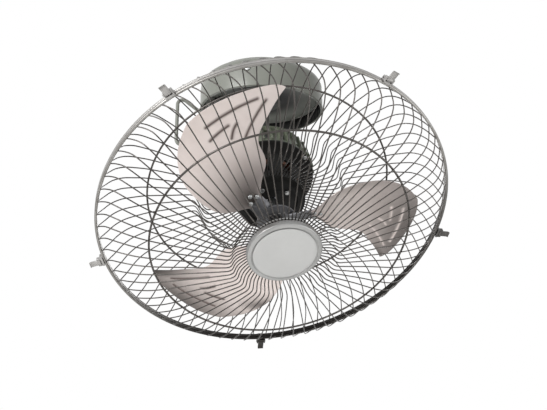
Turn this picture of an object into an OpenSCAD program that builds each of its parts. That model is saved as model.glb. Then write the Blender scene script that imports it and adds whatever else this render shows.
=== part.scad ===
// Orbital ceiling fan: a caged three-blade fan head that hangs tilted below a
// ceiling canopy and is carried round in a circle by a small gear motor.
// Millimetres. +Z is up. The origin is the centre of the ceiling plate's top face.

/* [Ceiling plate] */
// How far the plate's edge stands inside the canopy drum
plate_inset = 18; // [17:0.5:20]
// Thickness of the ceiling plate
plate_t = 3; // [2:0.5:5]
// Distance of the ceiling screws from the plate's edge
mount_edge = 11; // [9:0.5:12]
// Radius of each ceiling screw hole
mount_hole_r = 3; // [2.5:0.1:3.5]
// Number of ceiling screws
mount_count = 4; // [3:1:4]
// Radius of the cable entry
cable_hole_r = 9; // [6:0.5:10]
// Distance of the cable entry from the centre
cable_hole_x = 45; // [42:1:47]

/* [Canopy] */
// Outer radius of the canopy drum
canopy_r = 104; // [103:0.5:105.5]
// Sheet thickness of the canopy drum
canopy_wall = 1.4; // [1:0.1:2]
// Height of the canopy drum
canopy_h = 55; // [52:1:60]
// Radius of the drum's upper edge
canopy_edge_r = 20; // [18:0.5:21]
// Height of the ribbed liner inside the drum's mouth
liner_h = 21; // [14:0.5:22]
// Number of ribs inside the liner
liner_ribs = 48; // [24:4:60]
// Height of the canopy screws above the drum's mouth
canopy_screw_h = 30; // [29:0.5:32]

/* [Orbit drive] */
// Free height between the ceiling plate and the gear plate
post_h = 19; // [18.5:0.5:22]
// Thickness of the gear plate
gear_plate_t = 2; // [1.5:0.5:3]
// Gear module
gear_mod = 2; // [2:0.01:2.04]
// Teeth of the large orbit gear
orbit_teeth = 42; // [42:1:42]
// Teeth of the drive pinion
pinion_teeth = 14; // [14:1:14]
// Width of the gear teeth
gear_face = 5.5; // [4:0.5:6]
// Play between two meshing flanks
gear_backlash = 0.3; // [0.2:0.05:0.4]
// Radius of the orbit gear motor's can
orbit_motor_r = 24; // [20:0.5:24.5]
// Height of the orbit gear motor's can
orbit_motor_h = 15; // [12:0.5:16]
// Radius of the bearing balls
ball_r = 3.5; // [3:0.1:3.6]
// Circle on which the bearing balls run
ball_pcd_r = 18; // [17.8:0.1:18.4]

/* [Turntable and neck] */
// Gap between the canopy drum's outside and the turntable's rim
mouth_gap = 6; // [5.5:0.5:10]
// Sheet thickness of the turntable
turntable_t = 2; // [1.5:0.5:3]
// Depth of the turntable's rim
turntable_rim = 5; // [4:0.5:7]
// Outer radius of the hollow spindle
spindle_r = 11; // [10:0.5:11]
// Radius of the wire way through the spindle
spindle_bore_r = 6.5; // [5:0.5:7]
// Drop from the ceiling to the tilt axis
pivot_drop = 126; // [122:1:140]
// Offset of the tilt axis behind the orbit axis
pivot_y = 14; // [8:1:18]
// Radius of the neck's tube
neck_r = 14; // [12:0.5:15]
// Outer radius of the two tilt ears
ear_r = 18; // [17:0.5:18.5]
// Thickness of each tilt ear
ear_t = 6.2; // [5:0.2:8]
// Width of the tongue between the two ears
tongue_w = 25; // [22:0.5:26]
// Radius of the tilt bolt
tilt_bolt_r = 5; // [4:0.5:5]
// Tilt of the fan head from straight down
tilt = 36; // [0:1:40]

/* [Stay rod] */
// Radius of the bent stay rod
rod_r = 3; // [2:0.5:3]
// Inner bend radius of the rod's centre line
rod_bend = 9; // [7:0.5:10]
// How far the rod stands out from the orbit axis
rod_reach = 141; // [139:1:150]

/* [Fan motor] */
// Distance from the tilt axis to the plane of the guard ring
pivot_to_ring = 178; // [176:1:184]
// Outer radius of the motor body's wall
motor_r = 75; // [74:0.5:76]
// Inner radius of the motor body's wall
motor_bore_r = 70; // [69:0.5:70.5]
// How far the cooling fins stand out of the motor body
fin_h = 4; // [2:0.5:4]
// Number of cooling fins
fin_count = 36; // [36:36:72]
// Radius of the motor shaft
shaft_r = 6; // [5:0.5:7]

/* [Blades] */
// Number of blades
blade_count = 3; // [3:1:3]
// Radius at the blade's pointed tip
blade_tip_r = 219; // [200:1:226]
// Sheet thickness of a blade
blade_t = 1.2; // [1:0.1:2]
// Rise of the blade per degree across its width
blade_rise = 0.58; // [0.4:0.01:0.6]
// Radius outside which a blade twists flatter
twist_r = 70; // [64:1:76]
// Width of the hub's arms
arm_w = 26; // [22:1:28]

/* [Guard] */
// Radius of the rim where the two guards meet
rim_r = 262; // [240:1:280]
// Number of wires in each guard
wire_count = 72; // [48:12:76]
// Diameter of a guard wire
wire_d = 1.8; // [1.6:0.1:2.6]
// Diameter of a rim wire
rim_wire_d = 4.2; // [3.6:0.2:5.2]
// Width of the band between the two rim wires
band_w = 2.8; // [2:0.2:4]
// Radius of the guard's middle rings
mid_r = 189; // [170:1:200]
// Depth of the front guard's crown in front of the rim
crown_f = 81; // [78:1:90]
// Depth of the front guard's centre ring in front of the rim
badge_ring_f = 64; // [60:0.5:66]
// Radius of the front guard's centre ring
badge_ring_r = 50; // [46:0.5:50]
// Depth of the rear guard's flat back behind the rim
back_z = 67; // [62:1:72]
// Radius of the rear guard's centre ring
rear_ring_r = 48; // [47:0.5:48]
// Radius of the badge cup
badge_r = 54.5; // [53:0.5:60]

/* [Clips] */
// Width of a clip's lever
clip_w = 9.6; // [6:0.2:12]
// How far a lever's finger tab stands out
clip_tab = 14; // [8:0.5:18]
// Places of the clips round the rim, seen from the front
clip_angles = [0, 69, 134, 202, 277]; // [0:1:359]

/* [Hidden] */
$fn = 96;
eps = 0.01;           // overlap that keeps cuts clean
run_gap = 0.05;       // radial play of a running fit
seat_gap = 0.1;       // play between seated sheet parts

// ---- radii in the canopy ----
plate_r = canopy_r - plate_inset;
plate_gap = 0.6;        // play between the plate and the drum's upper opening
mount_pcd = 2 * (plate_r - mount_edge);
turntable_r = canopy_r - mouth_gap;
post_r = 5;
post_pcd_r = plate_r - post_r - 1;

// ---- heights in the canopy ----
plate_z = -plate_t;
gear_plate_z1 = plate_z - post_h;
gear_plate_z0 = gear_plate_z1 - gear_plate_t;
gear_gap = 1;
gear_z1 = gear_plate_z0 - gear_gap;
gear_z0 = gear_z1 - gear_face;
boss_h = 3.5;
disc_z1 = gear_z0 - boss_h;
disc_z0 = disc_z1 - turntable_t;
spindle_flange_t = 3;
neck_z1 = disc_z0 - spindle_flange_t;
canopy_z0 = plate_z - canopy_h;
canopy_in_r = canopy_r - canopy_wall;
mouth_lip = 4.2;
// the drum's upper edge turns in up to its opening
edge_x = canopy_r - canopy_edge_r;
edge_z = plate_z - canopy_edge_r;
opening_r = plate_r + plate_gap;
opening_dx = max(0, opening_r - edge_x);
edge_out_a = acos(opening_dx / canopy_edge_r);
edge_in_a = acos(opening_dx / (canopy_edge_r - canopy_wall));
// the gear plate's tabs stand inside the drum's wall, also where it starts to turn in
tab_rise = max(0, gear_plate_z1 - edge_z);
tab_r = edge_x - seat_gap + sqrt(pow(canopy_edge_r - canopy_wall, 2) - pow(tab_rise, 2));

// ---- gears ----
pressure_angle = 25;
orbit_pitch_r = gear_mod * orbit_teeth / 2;
pinion_pitch_r = gear_mod * pinion_teeth / 2;
gear_centres = orbit_pitch_r + pinion_pitch_r;

// ---- bearing ----
race_h = 8;
race_z0 = gear_plate_z1 + 2;
race_z1 = race_z0 + race_h;
race_gap = 7;
inner_race_r = ball_pcd_r - race_gap / 2;
outer_race_r0 = ball_pcd_r + race_gap / 2;
outer_race_r1 = outer_race_r0 + 2.5;
housing_r = outer_race_r1 + 3.5;
nut_h = 6;

// ---- drive layout ----
post_angles = [90, 210, 330];
tab_angles = [-117, 3, 123];
access_hole_r = 6;
motor_ear = 29;
ring_radii = [turntable_r - 34, turntable_r - 26, turntable_r - 18];
ring_w = 4;
ring_t = 0.8;
ring_disc_t = 2;
brush_gap = 0.2;

// ---- neck ----
neck_flange_r = 32;
neck_flange_t = 5;
neck_screw_r = 21;
neck_screw_d = 5;
pivot_z = -pivot_drop;
ear_gap = 0.3;
fork_in = tongue_w / 2 + ear_gap;
fork_out = fork_in + ear_t;
knob_r = 16;
knob_l = 19;

// ---- stay rod ----
rod_start_x = 60;
rod_start_z = disc_z0 - rod_r - seat_gap;
rod_run_1 = 15;
rod_turn_1 = 60;
rod_run_2 = 19;
rod_turn_2 = 95;
rod_end_x = 76;
eye_x = 80;
eye_t = 3;

// ---- motor, depths behind the ring plane ----
face_z = 46;
cover_z = 97;
flange_t = 3;
body_z0 = cover_z + flange_t;
body_h = 38;
body_z1 = body_z0 + body_h;
back_flange_z = body_z1 + flange_t;
back_z1 = 152;
knuckle_flange_t = 5;
bracket_screw_r = 23;
cover_wall = 2.5;
bolt_r = 1.8;
bolt_pcd_r = (motor_r + motor_bore_r) / 2;
stator_z = [cover_z + 10, cover_z + 34];
rotor_r = 37.4;
bearing_r = 16;

// ---- blades ----
tip_clock = [97.6, -22.4, -142.4];
root_mid = 42;          // degrees from the tip to the middle of the root
hub_f = 6;              // depth of the blade's root in front of the ring plane
hub_pitch = atan(blade_rise * 180 / (PI * twist_r));
// leading and trailing edges from root to tip: [share of the tip radius, degrees from tip]
lead_edge = [[0.244, 31], [0.432, 13.5], [0.636, 15], [0.809, 7.7], [1, 0]];
trail_edge = [[0.244, 54], [0.418, 69], [0.677, 62.3], [0.872, 50.8], [1.01, 37]];
blade_rows = 12;
blade_cols = 8;
rivet_r = 2;
// rivets: [distance from the axis, place across the arm]
rivets = [[57, 7], [57, -7], [66, 0]];
arm_t = 2.2;
arm_out = 71;
hub_disc_r = 30;
hub_disc_t = 3;
hub_boss_r = 14;
hub_boss_h = 13;
// pressed ribs: [share of tip radius, degrees] at each end and in between
ribs = [
    [[0.934, 11.9], [0.916, 22.9], [0.901, 34.2]],
    [[0.911, 8.7], [0.8, 15], [0.703, 21]],
    [[0.832, 26.1], [0.823, 31], [0.81, 36.1]],
    [[0.818, 22.7], [0.788, 25], [0.74, 27.5]],
];
rib_w = 4;
rib_h = 1.5;

// ---- guard ----
rim_z = (band_w + rim_wire_d) / 2;
mid_d = 3;
ring_d = 4;
weld = 0.4;             // how far a wire sinks into a ring where they are welded
mid_f = 50;
mid_z = back_z - mid_d / 2 - wire_d / 2 + weld;
step_r = 72;
dish_r = 100;
dish_z = 27;
shoulder = 26;
shoulder_f = 34;
shoulder_z = 54;
rear_ring_z = 43.6;
// a guard wire from the centre out: [radius, depth, swirl in degrees]
front_wire = [
    [badge_ring_r, badge_ring_f, -5],
    [step_r - 3, badge_ring_f + 5, -2],
    [step_r + 5, crown_f, 0],
    [mid_r, mid_f + (mid_d + wire_d) / 2 - weld, -1.2],
    [rim_r - shoulder, shoulder_f, -1.5],
    [rim_r - shoulder * 0.42, shoulder_f * 0.58, -0.6],
    [rim_r - shoulder * 0.12, shoulder_f * 0.27, 1.4],
    [rim_r, rim_z, 2.8],
];
rear_wire = [
    [rear_ring_r, rear_ring_z, 3],
    [dish_r - 34, dish_z + 11, 2],
    [dish_r, dish_z, 0],
    [dish_r + 17, back_z, -4],
    [mid_r, back_z, -4.4],
    [rim_r - shoulder, shoulder_z, -5],
    [rim_r - shoulder * 0.42, shoulder_z * 0.66, -5.6],
    [rim_r - shoulder * 0.12, shoulder_z * 0.27, -7.2],
    [rim_r, rim_z, -8.4],
];
wire_sides = 4;
rear_turn = 2.2;        // how far the rear guard is turned against the front guard

// ---- clip ----
clip_pin_x = 8;
clip_pin_z = -4;
clip_pin_r = 1.2;
clip_inner = rim_wire_d / 2 + 0.2;
clip_top = rim_z + rim_wire_d / 2 + 0.3;
clip_hook_z = clip_top - clip_pin_z;

// ---- shared shapes ----

// Points of an arc about (cx, cy)
function arc(cx, cy, r, a0, a1, n = 6) =
    [for (i = [0:n]) let (a = a0 + (a1 - a0) * i / n) [cx + r * cos(a), cy + r * sin(a)]];

// Involute of a base circle, as the angle swept at radius r
function involute(rb, r) = let (c = acos(rb / r)) tan(c) * 180 / PI - c;

// Half of a tooth's angle at radius r
function half_tooth(teeth, r, rb, rp, play) =
    90 / teeth - play * 90 / (PI * rp) + involute(rb, rp) - involute(rb, max(r, rb));

// Outline of an involute gear, with a tooth centred on angle 0
function gear_points(teeth) = let (
    rp = gear_mod * teeth / 2, rb = rp * cos(pressure_angle), ra = rp + gear_mod,
    rr = rp - 1.2 * gear_mod, r0 = max(rb, rr),
    flank = [rr, for (i = [0:3]) r0 + (ra - r0) * i / 3]
) [
    for (t = [0:teeth - 1]) each concat(
        [for (r = flank) let (a = t * 360 / teeth - half_tooth(teeth, r, rb, rp, gear_backlash / 2))
            [r * cos(a), r * sin(a)]],
        [for (i = [4:-1:0]) let (r = flank[i],
            a = t * 360 / teeth + half_tooth(teeth, r, rb, rp, gear_backlash / 2))
            [r * cos(a), r * sin(a)]])
];

// A washer of inner radius r0 and outer radius r1 from z0 up to z1
module washer(r0, r1, z0, z1) translate([0, 0, z0]) linear_extrude(z1 - z0) difference() {
    circle(r1);
    circle(r0);
}

// A ring of round wire
module wire_ring(r, d, z) translate([0, 0, z]) rotate_extrude() translate([r, 0]) circle(d / 2, $fn = 20);

// A cylinder along X from x0 to x1
module rod_x(r, x0, x1) translate([x0, 0, 0]) rotate([0, 90, 0]) cylinder(r = r, h = x1 - x0);

// A pan-head screw standing on z = 0 with its shank pointing down
module screw(head_r, head_h, shank_r, shank_l) rotate_extrude() polygon(concat(
    [[0, -shank_l], [shank_r, -shank_l], [shank_r, 0], [head_r, 0], [head_r, head_h * 0.4]],
    arc(head_r - head_h * 0.6, head_h * 0.4, head_h * 0.6, 0, 90, 4),
    [[0, head_h]]));

// A solid whose faces are listed counter-clockwise, seen from outside
module solid(points, faces)
    polyhedron(points, [for (f = faces) [for (i = [len(f) - 1:-1:0]) f[i]]]);

// A bar of radius r swept along points p, with one vector across it at each point
module sweep(p, across, r, sides) {
    n = len(p);
    along = [for (i = [0:n - 1]) let (d = p[min(i + 1, n - 1)] - p[max(i - 1, 0)]) d / norm(d)];
    points = [for (i = [0:n - 1]) let (
        c = across[i] - (across[i] * along[i]) * along[i], u = c / norm(c), w = cross(along[i], u))
        for (k = [0:sides - 1]) p[i] + r * (cos(360 * k / sides) * u + sin(360 * k / sides) * w)];
    solid(points, concat(
        [[for (k = [0:sides - 1]) sides - 1 - k]],
        [for (i = [0:n - 2]) for (k = [0:sides - 1]) let (
            a = i * sides + k, b = i * sides + (k + 1) % sides)
            each [[a, b, b + sides], [a, b + sides, a + sides]]],
        [[for (k = [0:sides - 1]) (n - 1) * sides + k]]));
}

// Places children in the tilted head: z = 0 is the ring plane and +z is its rear side
module head_frame() translate([0, pivot_y, pivot_z]) rotate([-tilt, 0, 0])
    translate([0, 0, -pivot_to_ring]) children();

// Turns children clockwise round the head's axis, seen from the rear
module clock(angle) rotate([0, 0, -angle]) children();

// ---- ceiling base ----

module ceiling_plate() color([0.62, 0.63, 0.6]) difference() {
    translate([0, 0, plate_z]) cylinder(r = plate_r, h = plate_t);
    for (i = [0:mount_count - 1]) rotate([0, 0, 45 + i * 360 / mount_count])
        translate([mount_pcd / 2, 0, plate_z - 1]) cylinder(r = mount_hole_r, h = plate_t + 2);
    translate([cable_hole_x, 0, plate_z - 1]) cylinder(r = cable_hole_r, h = plate_t + 2);
}

module spacer_posts() color([0.75, 0.75, 0.74]) for (a = post_angles) rotate([0, 0, a])
    translate([post_pcd_r, 0, gear_plate_z1]) difference() {
        cylinder(r = post_r, h = post_h, $fn = 48);
        translate([0, 0, -1]) cylinder(r = 2 + run_gap, h = 12, $fn = 32);
    }

module gear_plate() color([0.7, 0.71, 0.7]) difference() {
    union() {
        washer(spindle_r + 6, post_pcd_r + 6, gear_plate_z0, gear_plate_z1);
        // three arms with bent tabs that carry the canopy drum
        intersection() {
            union() {
                washer(post_pcd_r, tab_r, gear_plate_z0, gear_plate_z1);
                washer(tab_r - 2, tab_r, canopy_z0 + canopy_screw_h - 6, gear_plate_z1);
            }
            for (a = tab_angles) rotate([0, 0, a])
                translate([post_pcd_r - 4, -8, -60]) cube([40, 16, 60]);
        }
    }
    for (a = tab_angles) rotate([0, 0, a]) translate([0, 0, canopy_z0 + canopy_screw_h])
        rod_x(2 + run_gap, canopy_r - 12, canopy_r + 2);
    for (a = post_angles) rotate([0, 0, a])
        translate([post_pcd_r, 0, gear_plate_z0 - 1]) cylinder(r = 2 + run_gap, h = 9, $fn = 32);
    for (i = [0:mount_count - 1]) rotate([0, 0, 45 + i * 360 / mount_count])
        translate([mount_pcd / 2, 0, gear_plate_z0 - 1]) cylinder(r = access_hole_r, h = 9);
    translate([-gear_centres, 0, gear_plate_z0 - 1]) {
        cylinder(r = 5, h = 9);
        for (s = [-1, 1]) translate([0, s * motor_ear, 0]) cylinder(r = 1.5 + run_gap, h = 9, $fn = 32);
    }
}

module canopy_shell() color([0.55, 0.56, 0.53]) difference() {
    rotate_extrude() polygon(concat(
        [[canopy_r - mouth_lip, canopy_z0], [canopy_r, canopy_z0]],
        arc(edge_x, edge_z, canopy_edge_r, 0, edge_out_a, 8),
        opening_dx > 0 ? [] : [[opening_r, plate_z], [opening_r, plate_z - canopy_wall]],
        arc(edge_x, edge_z, canopy_edge_r - canopy_wall, edge_in_a, 0, 8),
        [[canopy_in_r, canopy_z0 + canopy_wall], [canopy_r - mouth_lip, canopy_z0 + canopy_wall]]));
    for (a = tab_angles) rotate([0, 0, a]) translate([0, 0, canopy_z0 + canopy_screw_h])
        rod_x(2 + run_gap, canopy_r - 12, canopy_r + 2);
}

module skirt_liner() color([0.16, 0.16, 0.15]) union() {
    z0 = canopy_z0 + canopy_wall + seat_gap;
    washer(canopy_in_r - seat_gap - 1.6, canopy_in_r - seat_gap, z0, z0 + liner_h);
    for (i = [0:liner_ribs - 1]) rotate([0, 0, i * 360 / liner_ribs])
        translate([canopy_in_r - 2.9, -1, z0]) cube([2, 2, liner_h]);
}

module canopy_screws() color([0.8, 0.8, 0.8]) for (a = tab_angles) rotate([0, 0, a])
    translate([canopy_r, 0, canopy_z0 + canopy_screw_h]) rotate([0, 90, 0])
        screw(4.2, 2.4, 2, 7, $fn = 40);

module gear_plate_screws() color([0.8, 0.8, 0.8]) {
    for (a = post_angles) rotate([0, 0, a]) translate([post_pcd_r, 0, gear_plate_z0])
        rotate([180, 0, 0]) screw(4, 2.4, 2, 10, $fn = 40);
    for (s = [-1, 1]) translate([-gear_centres, s * motor_ear, gear_plate_z1 + 1.5])
        screw(3, 1.8, 1.5, 5, $fn = 40);
}

module bearing_housing() color([0.66, 0.66, 0.64]) rotate_extrude() polygon([
    [outer_race_r0 - 1.5, gear_plate_z1], [housing_r + 3, gear_plate_z1],
    [housing_r + 3, gear_plate_z1 + 1.5], [housing_r, gear_plate_z1 + 1.5],
    [housing_r, race_z1 + 1.5], [outer_race_r1 + run_gap, race_z1 + 1.5],
    [outer_race_r1 + run_gap, race_z0],
    [outer_race_r0 - 1.5, race_z0]]);

module race(r0, r1) difference() {
    washer(r0, r1, race_z0, race_z1);
    wire_ring(ball_pcd_r, 2 * (ball_r + 0.15), (race_z0 + race_z1) / 2);
}

module bearing_outer_race() color([0.8, 0.8, 0.82]) race(outer_race_r0, outer_race_r1);

module bearing_inner_race() color([0.8, 0.8, 0.82]) race(spindle_r + run_gap, inner_race_r);

module bearing_balls() color([0.85, 0.85, 0.87]) for (i = [0:11]) rotate([0, 0, i * 30])
    translate([ball_pcd_r, 0, (race_z0 + race_z1) / 2]) sphere(ball_r, $fn = 32);

module orbit_motor() color([0.72, 0.73, 0.72]) translate([-gear_centres, 0, gear_plate_z1])
    difference() {
        union() {
            rotate_extrude() polygon(concat([[0, 0], [orbit_motor_r, 0]],
                arc(orbit_motor_r - 2, orbit_motor_h - 2, 2, 0, 90), [[0, orbit_motor_h]]));
            for (s = [-1, 1]) translate([0, s * motor_ear, 0]) cylinder(r = 4.5, h = 1.5);
            translate([-3.5, -motor_ear, 0]) cube([7, 2 * motor_ear, 1.5]);
        }
        translate([0, 0, -1]) cylinder(r = 3 + run_gap, h = 11);
        for (s = [-1, 1]) translate([0, s * motor_ear, -1]) cylinder(r = 1.5 + run_gap, h = 5, $fn = 32);
    }

module terminal_block() color([0.9, 0.88, 0.8]) difference() {
    translate([cable_hole_x + 13, -17, plate_z - 12]) cube([16, 34, 12]);
    for (i = [-1:1]) translate([cable_hole_x + 21, i * 10, plate_z - 13]) cylinder(r = 2.4, h = 7, $fn = 32);
}

// The holder and its three carbon brushes, which nearly touch the slip rings
module brush_holder() color([0.2, 0.2, 0.2]) {
    ring_top = disc_z1 + ring_disc_t + ring_t;
    translate([ring_radii[0] - 5, -9, gear_plate_z0 - 5])
        cube([ring_radii[2] - ring_radii[0] + 9, 18, 5]);
    for (r = ring_radii) translate([r - 1.5, -3, ring_top + brush_gap])
        cube([3, 6, gear_plate_z0 - 4 - ring_top - brush_gap]);
}

// ---- orbit drive ----

module drive_pinion() color([0.9, 0.88, 0.82]) translate([-gear_centres, 0, 0]) {
    translate([0, 0, gear_z0]) linear_extrude(gear_face)
        rotate(180 / pinion_teeth) polygon(gear_points(pinion_teeth));
    translate([0, 0, gear_z0]) cylinder(r = 3, h = gear_plate_z1 + 9 - gear_z0);
}

module neck_screw_holes(r) for (i = [0:3]) rotate([0, 0, 45 + i * 90])
    translate([neck_screw_r, 0, neck_z1 - 20]) cylinder(r = r, h = gear_z0 - neck_z1 + 19, $fn = 32);

module orbit_gear() color([0.92, 0.9, 0.84]) difference() {
    union() {
        translate([0, 0, gear_z0]) linear_extrude(gear_face) polygon(gear_points(orbit_teeth));
        translate([0, 0, disc_z1]) cylinder(r = neck_screw_r + 6, h = boss_h + 1);
    }
    translate([0, 0, disc_z1 - 1]) cylinder(r = spindle_r + run_gap, h = 40);
    neck_screw_holes(neck_screw_d / 2 + run_gap);
}

module slip_ring_disc() color([0.25, 0.2, 0.16])
    washer(ring_radii[0] - ring_w, ring_radii[2] + ring_w, disc_z1, disc_z1 + ring_disc_t);

module slip_rings() color([0.8, 0.62, 0.3]) for (r = ring_radii)
    washer(r - ring_w / 2, r + ring_w / 2, disc_z1 + ring_disc_t, disc_z1 + ring_disc_t + ring_t);

module turntable_disc() color([0.5, 0.51, 0.48]) difference() {
    rotate_extrude() polygon(concat(
        [[spindle_r + run_gap, disc_z0], [spindle_r + run_gap, disc_z1]],
        arc(turntable_r - 2, disc_z1 - 2, 2, 90, 0, 4),
        arc(turntable_r - 1.7, disc_z1 - turntable_rim + 1.7, 1.7, 0, -180, 8),
        [[turntable_r - 3.4, disc_z0]]));
    neck_screw_holes(neck_screw_d / 2 + run_gap);
}

module spindle() color([0.74, 0.74, 0.75]) difference() {
    rotate_extrude() polygon([
        [spindle_bore_r, neck_z1], [neck_screw_r + 5, neck_z1], [neck_screw_r + 5, disc_z0],
        [spindle_r, disc_z0], [spindle_r, race_z1 + nut_h + 1], [spindle_bore_r, race_z1 + nut_h + 1]]);
    neck_screw_holes(neck_screw_d / 2 + run_gap);
}

module spindle_nut() color([0.78, 0.78, 0.78]) difference() {
    translate([0, 0, race_z1]) cylinder(r = spindle_r + 6, h = nut_h, $fn = 6);
    translate([0, 0, race_z1 - 1]) cylinder(r = spindle_r + run_gap, h = nut_h + 2);
}

// Inclined line of the neck's tube, from the flange to above the tilt axis
neck_len = norm([0, pivot_y, pivot_drop + neck_z1 - 26]);
neck_lean = atan2(pivot_y, pivot_drop + neck_z1 - 26);

module neck_casting() color([0.48, 0.49, 0.46]) difference() {
    union() {
        translate([0, 0, neck_z1 - neck_flange_t]) cylinder(r = neck_flange_r, h = neck_flange_t);
        intersection() {
            translate([0, 0, neck_z1]) rotate([neck_lean, 0, 0]) rotate([180, 0, 0])
                translate([0, 0, -8]) cylinder(r = neck_r, h = neck_len + 8);
            translate([-neck_flange_r, -neck_flange_r, pivot_z])
                cube([2 * neck_flange_r, 2 * neck_flange_r, pivot_drop + neck_z1]);
        }
        translate([0, pivot_y, pivot_z]) {
            rod_x(ear_r, -fork_out, fork_out);
            translate([-fork_out, -ear_r, 0]) cube([2 * fork_out, 2 * ear_r, ear_r + 10]);
        }
    }
    translate([0, 0, neck_z1]) rotate([neck_lean, 0, 0]) rotate([180, 0, 0])
        translate([0, 0, -8]) cylinder(r = 5, h = neck_len + 8);
    translate([0, pivot_y, pivot_z]) {
        translate([-fork_in, -ear_r - 1, -ear_r - 1]) cube([2 * fork_in, 2 * ear_r + 2, 2 * ear_r + 3]);
        rod_x(tilt_bolt_r + run_gap, -fork_out - 1, fork_out + 1);
    }
    neck_screw_holes(neck_screw_d / 2 + run_gap);
}

module neck_screws() color([0.8, 0.8, 0.8]) for (i = [0:3]) rotate([0, 0, 45 + i * 90])
    translate([neck_screw_r, 0, neck_z1 - neck_flange_t]) rotate([180, 0, 0])
        screw(4.5, 3, neck_screw_d / 2, neck_flange_t + spindle_flange_t + turntable_t + 2.5, $fn = 40);

module tilt_bolt() color([0.7, 0.7, 0.7]) translate([0, pivot_y, pivot_z]) {
    rod_x(tilt_bolt_r, -fork_out - 1, fork_out + 13);
    translate([-fork_out - 6, 0, 0]) rotate([0, 90, 0]) cylinder(r = 9, h = 6, $fn = 6);
}

module clamp_knob() color([0.13, 0.13, 0.13]) translate([fork_out + ear_gap, pivot_y, pivot_z])
    difference() {
        union() {
            rod_x(9, 0, 6);
            rod_x(knob_r, 5, knob_l);
        }
        for (i = [0:4]) rotate([i * 72, 0, 0]) translate([0, knob_r + 4, 0]) rod_x(7, 4, knob_l + 1);
        rod_x(tilt_bolt_r + run_gap, -1, 14);
    }

// Direction to the left of heading h, in a plane
function left(h) = [-sin(h), cos(h)];

// Where a bend of t degrees ends, from p with heading h; a turn to the left is positive
function bend_to(p, h, t) = p + sign(t) * rod_bend * (left(h) - left(h + t));

// Points along that bend
function bend_points(p, h, t) = [for (i = [0:6]) bend_to(p, h, t * i / 6)];

// The rod's centre line, seen from the front: [x, z]
rod_h2 = 180 + rod_turn_1;
rod_h3 = rod_h2 - rod_turn_2;
rod_bend_1 = bend_points([-rod_start_x - rod_run_1, rod_start_z], 180, rod_turn_1);
rod_bend_2 = bend_points(rod_bend_1[6] + rod_run_2 * [cos(rod_h2), sin(rod_h2)], rod_h2, -rod_turn_2);
rod_run_3 = (-rod_reach - rod_bend_2[6].x + rod_bend * (1 + sin(rod_h3))) / cos(rod_h3);
rod_bend_3 = bend_points(rod_bend_2[6] + rod_run_3 * [cos(rod_h3), sin(rod_h3)], rod_h3, 270 - rod_h3);
rod_bend_4 = bend_points([-rod_reach, pivot_z + rod_bend], 270, 90);
rod_line = concat([[-rod_start_x, rod_start_z]], rod_bend_1, rod_bend_2, rod_bend_3, rod_bend_4,
    [[-rod_end_x, pivot_z]]);

module stay_rod() color([0.45, 0.45, 0.43]) translate([0, pivot_y, 0]) {
    sweep([for (q = rod_line) [q.x, 0, q.y]], [for (q = rod_line) [0, 1, 0]], rod_r, 16);
    // collars on both sides of the bracket
    translate([0, 0, pivot_z]) {
        rod_x(rod_r + 2, -eye_x - eye_t - 2.5, -eye_x - eye_t - 0.2);
        rod_x(rod_r + 2, -eye_x + 0.2, -eye_x + 2.5);
    }
}

module stay_clamp() color([0.6, 0.6, 0.58]) translate([0, pivot_y, 0]) difference() {
    union() {
        translate([-rod_start_x - 14, -11, disc_z0 - 2 * rod_r - 2.4]) cube([12, 22, 2 * rod_r + 2.4]);
        for (s = [-1, 1]) translate([-rod_start_x - 8, s * 7.5, disc_z0 - 2 * rod_r - 2.4])
            rotate([180, 0, 0]) screw(2.8, 1.8, 1.5, 2, $fn = 32);
    }
    translate([0, 0, rod_start_z]) rod_x(rod_r + run_gap, -rod_start_x - 20, -rod_start_x + 5);
    translate([-rod_start_x - 20, -rod_r - run_gap, rod_start_z]) cube([30, 2 * (rod_r + run_gap), 20]);
}

// ---- fan head ----

module tilt_knuckle() color([0.46, 0.47, 0.44]) head_frame() difference() {
    union() {
        translate([0, 0, back_z1]) cylinder(r = 28, h = knuckle_flange_t);
        translate([-tongue_w / 2, -11, back_z1]) cube([tongue_w, 22, pivot_to_ring - back_z1]);
        translate([0, 0, pivot_to_ring]) rod_x(ear_r - 2, -tongue_w / 2, tongue_w / 2);
    }
    translate([0, 0, pivot_to_ring]) rod_x(tilt_bolt_r + run_gap, -tongue_w, tongue_w);
    for (i = [0:3]) rotate([0, 0, 45 + i * 90]) translate([bracket_screw_r, 0, back_z1 - 1])
        cylinder(r = 2 + run_gap, h = 9, $fn = 32);
}

module bracket_screws() color([0.78, 0.78, 0.78]) head_frame() {
    for (i = [0:3]) rotate([0, 0, 45 + i * 90]) translate([bracket_screw_r, 0, back_z1 + knuckle_flange_t])
        screw(3.6, 2.6, 2, knuckle_flange_t + cover_wall, $fn = 40);
    for (z = boss_levels) translate([-eye_x - eye_t, 0, z]) rotate([0, -90, 0])
        screw(4, 2.4, 2, 8, $fn = 40);
}

// Depths of the two bosses that carry the stay bracket
boss_levels = [body_z0 + 9, body_z0 + 29];

module stay_bracket() color([0.5, 0.5, 0.48]) head_frame() difference() {
    union() {
        translate([-eye_x - eye_t, -9, body_z0 + 3]) cube([eye_t, 18, pivot_to_ring - body_z0 - 3]);
        translate([0, 0, pivot_to_ring]) rod_x(9, -eye_x - eye_t, -eye_x);
    }
    translate([0, 0, pivot_to_ring]) rod_x(rod_r + run_gap, -eye_x - 9, -eye_x + 9);
    for (z = boss_levels) translate([0, 0, z]) rod_x(2 + run_gap, -eye_x - 9, -eye_x + 9);
}

module through_holes(r) for (i = [0:3]) rotate([0, 0, 45 + i * 90])
    translate([bolt_pcd_r, 0, cover_z - 5]) cylinder(r = r, h = back_flange_z - cover_z + 4.6, $fn = 32);

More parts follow.
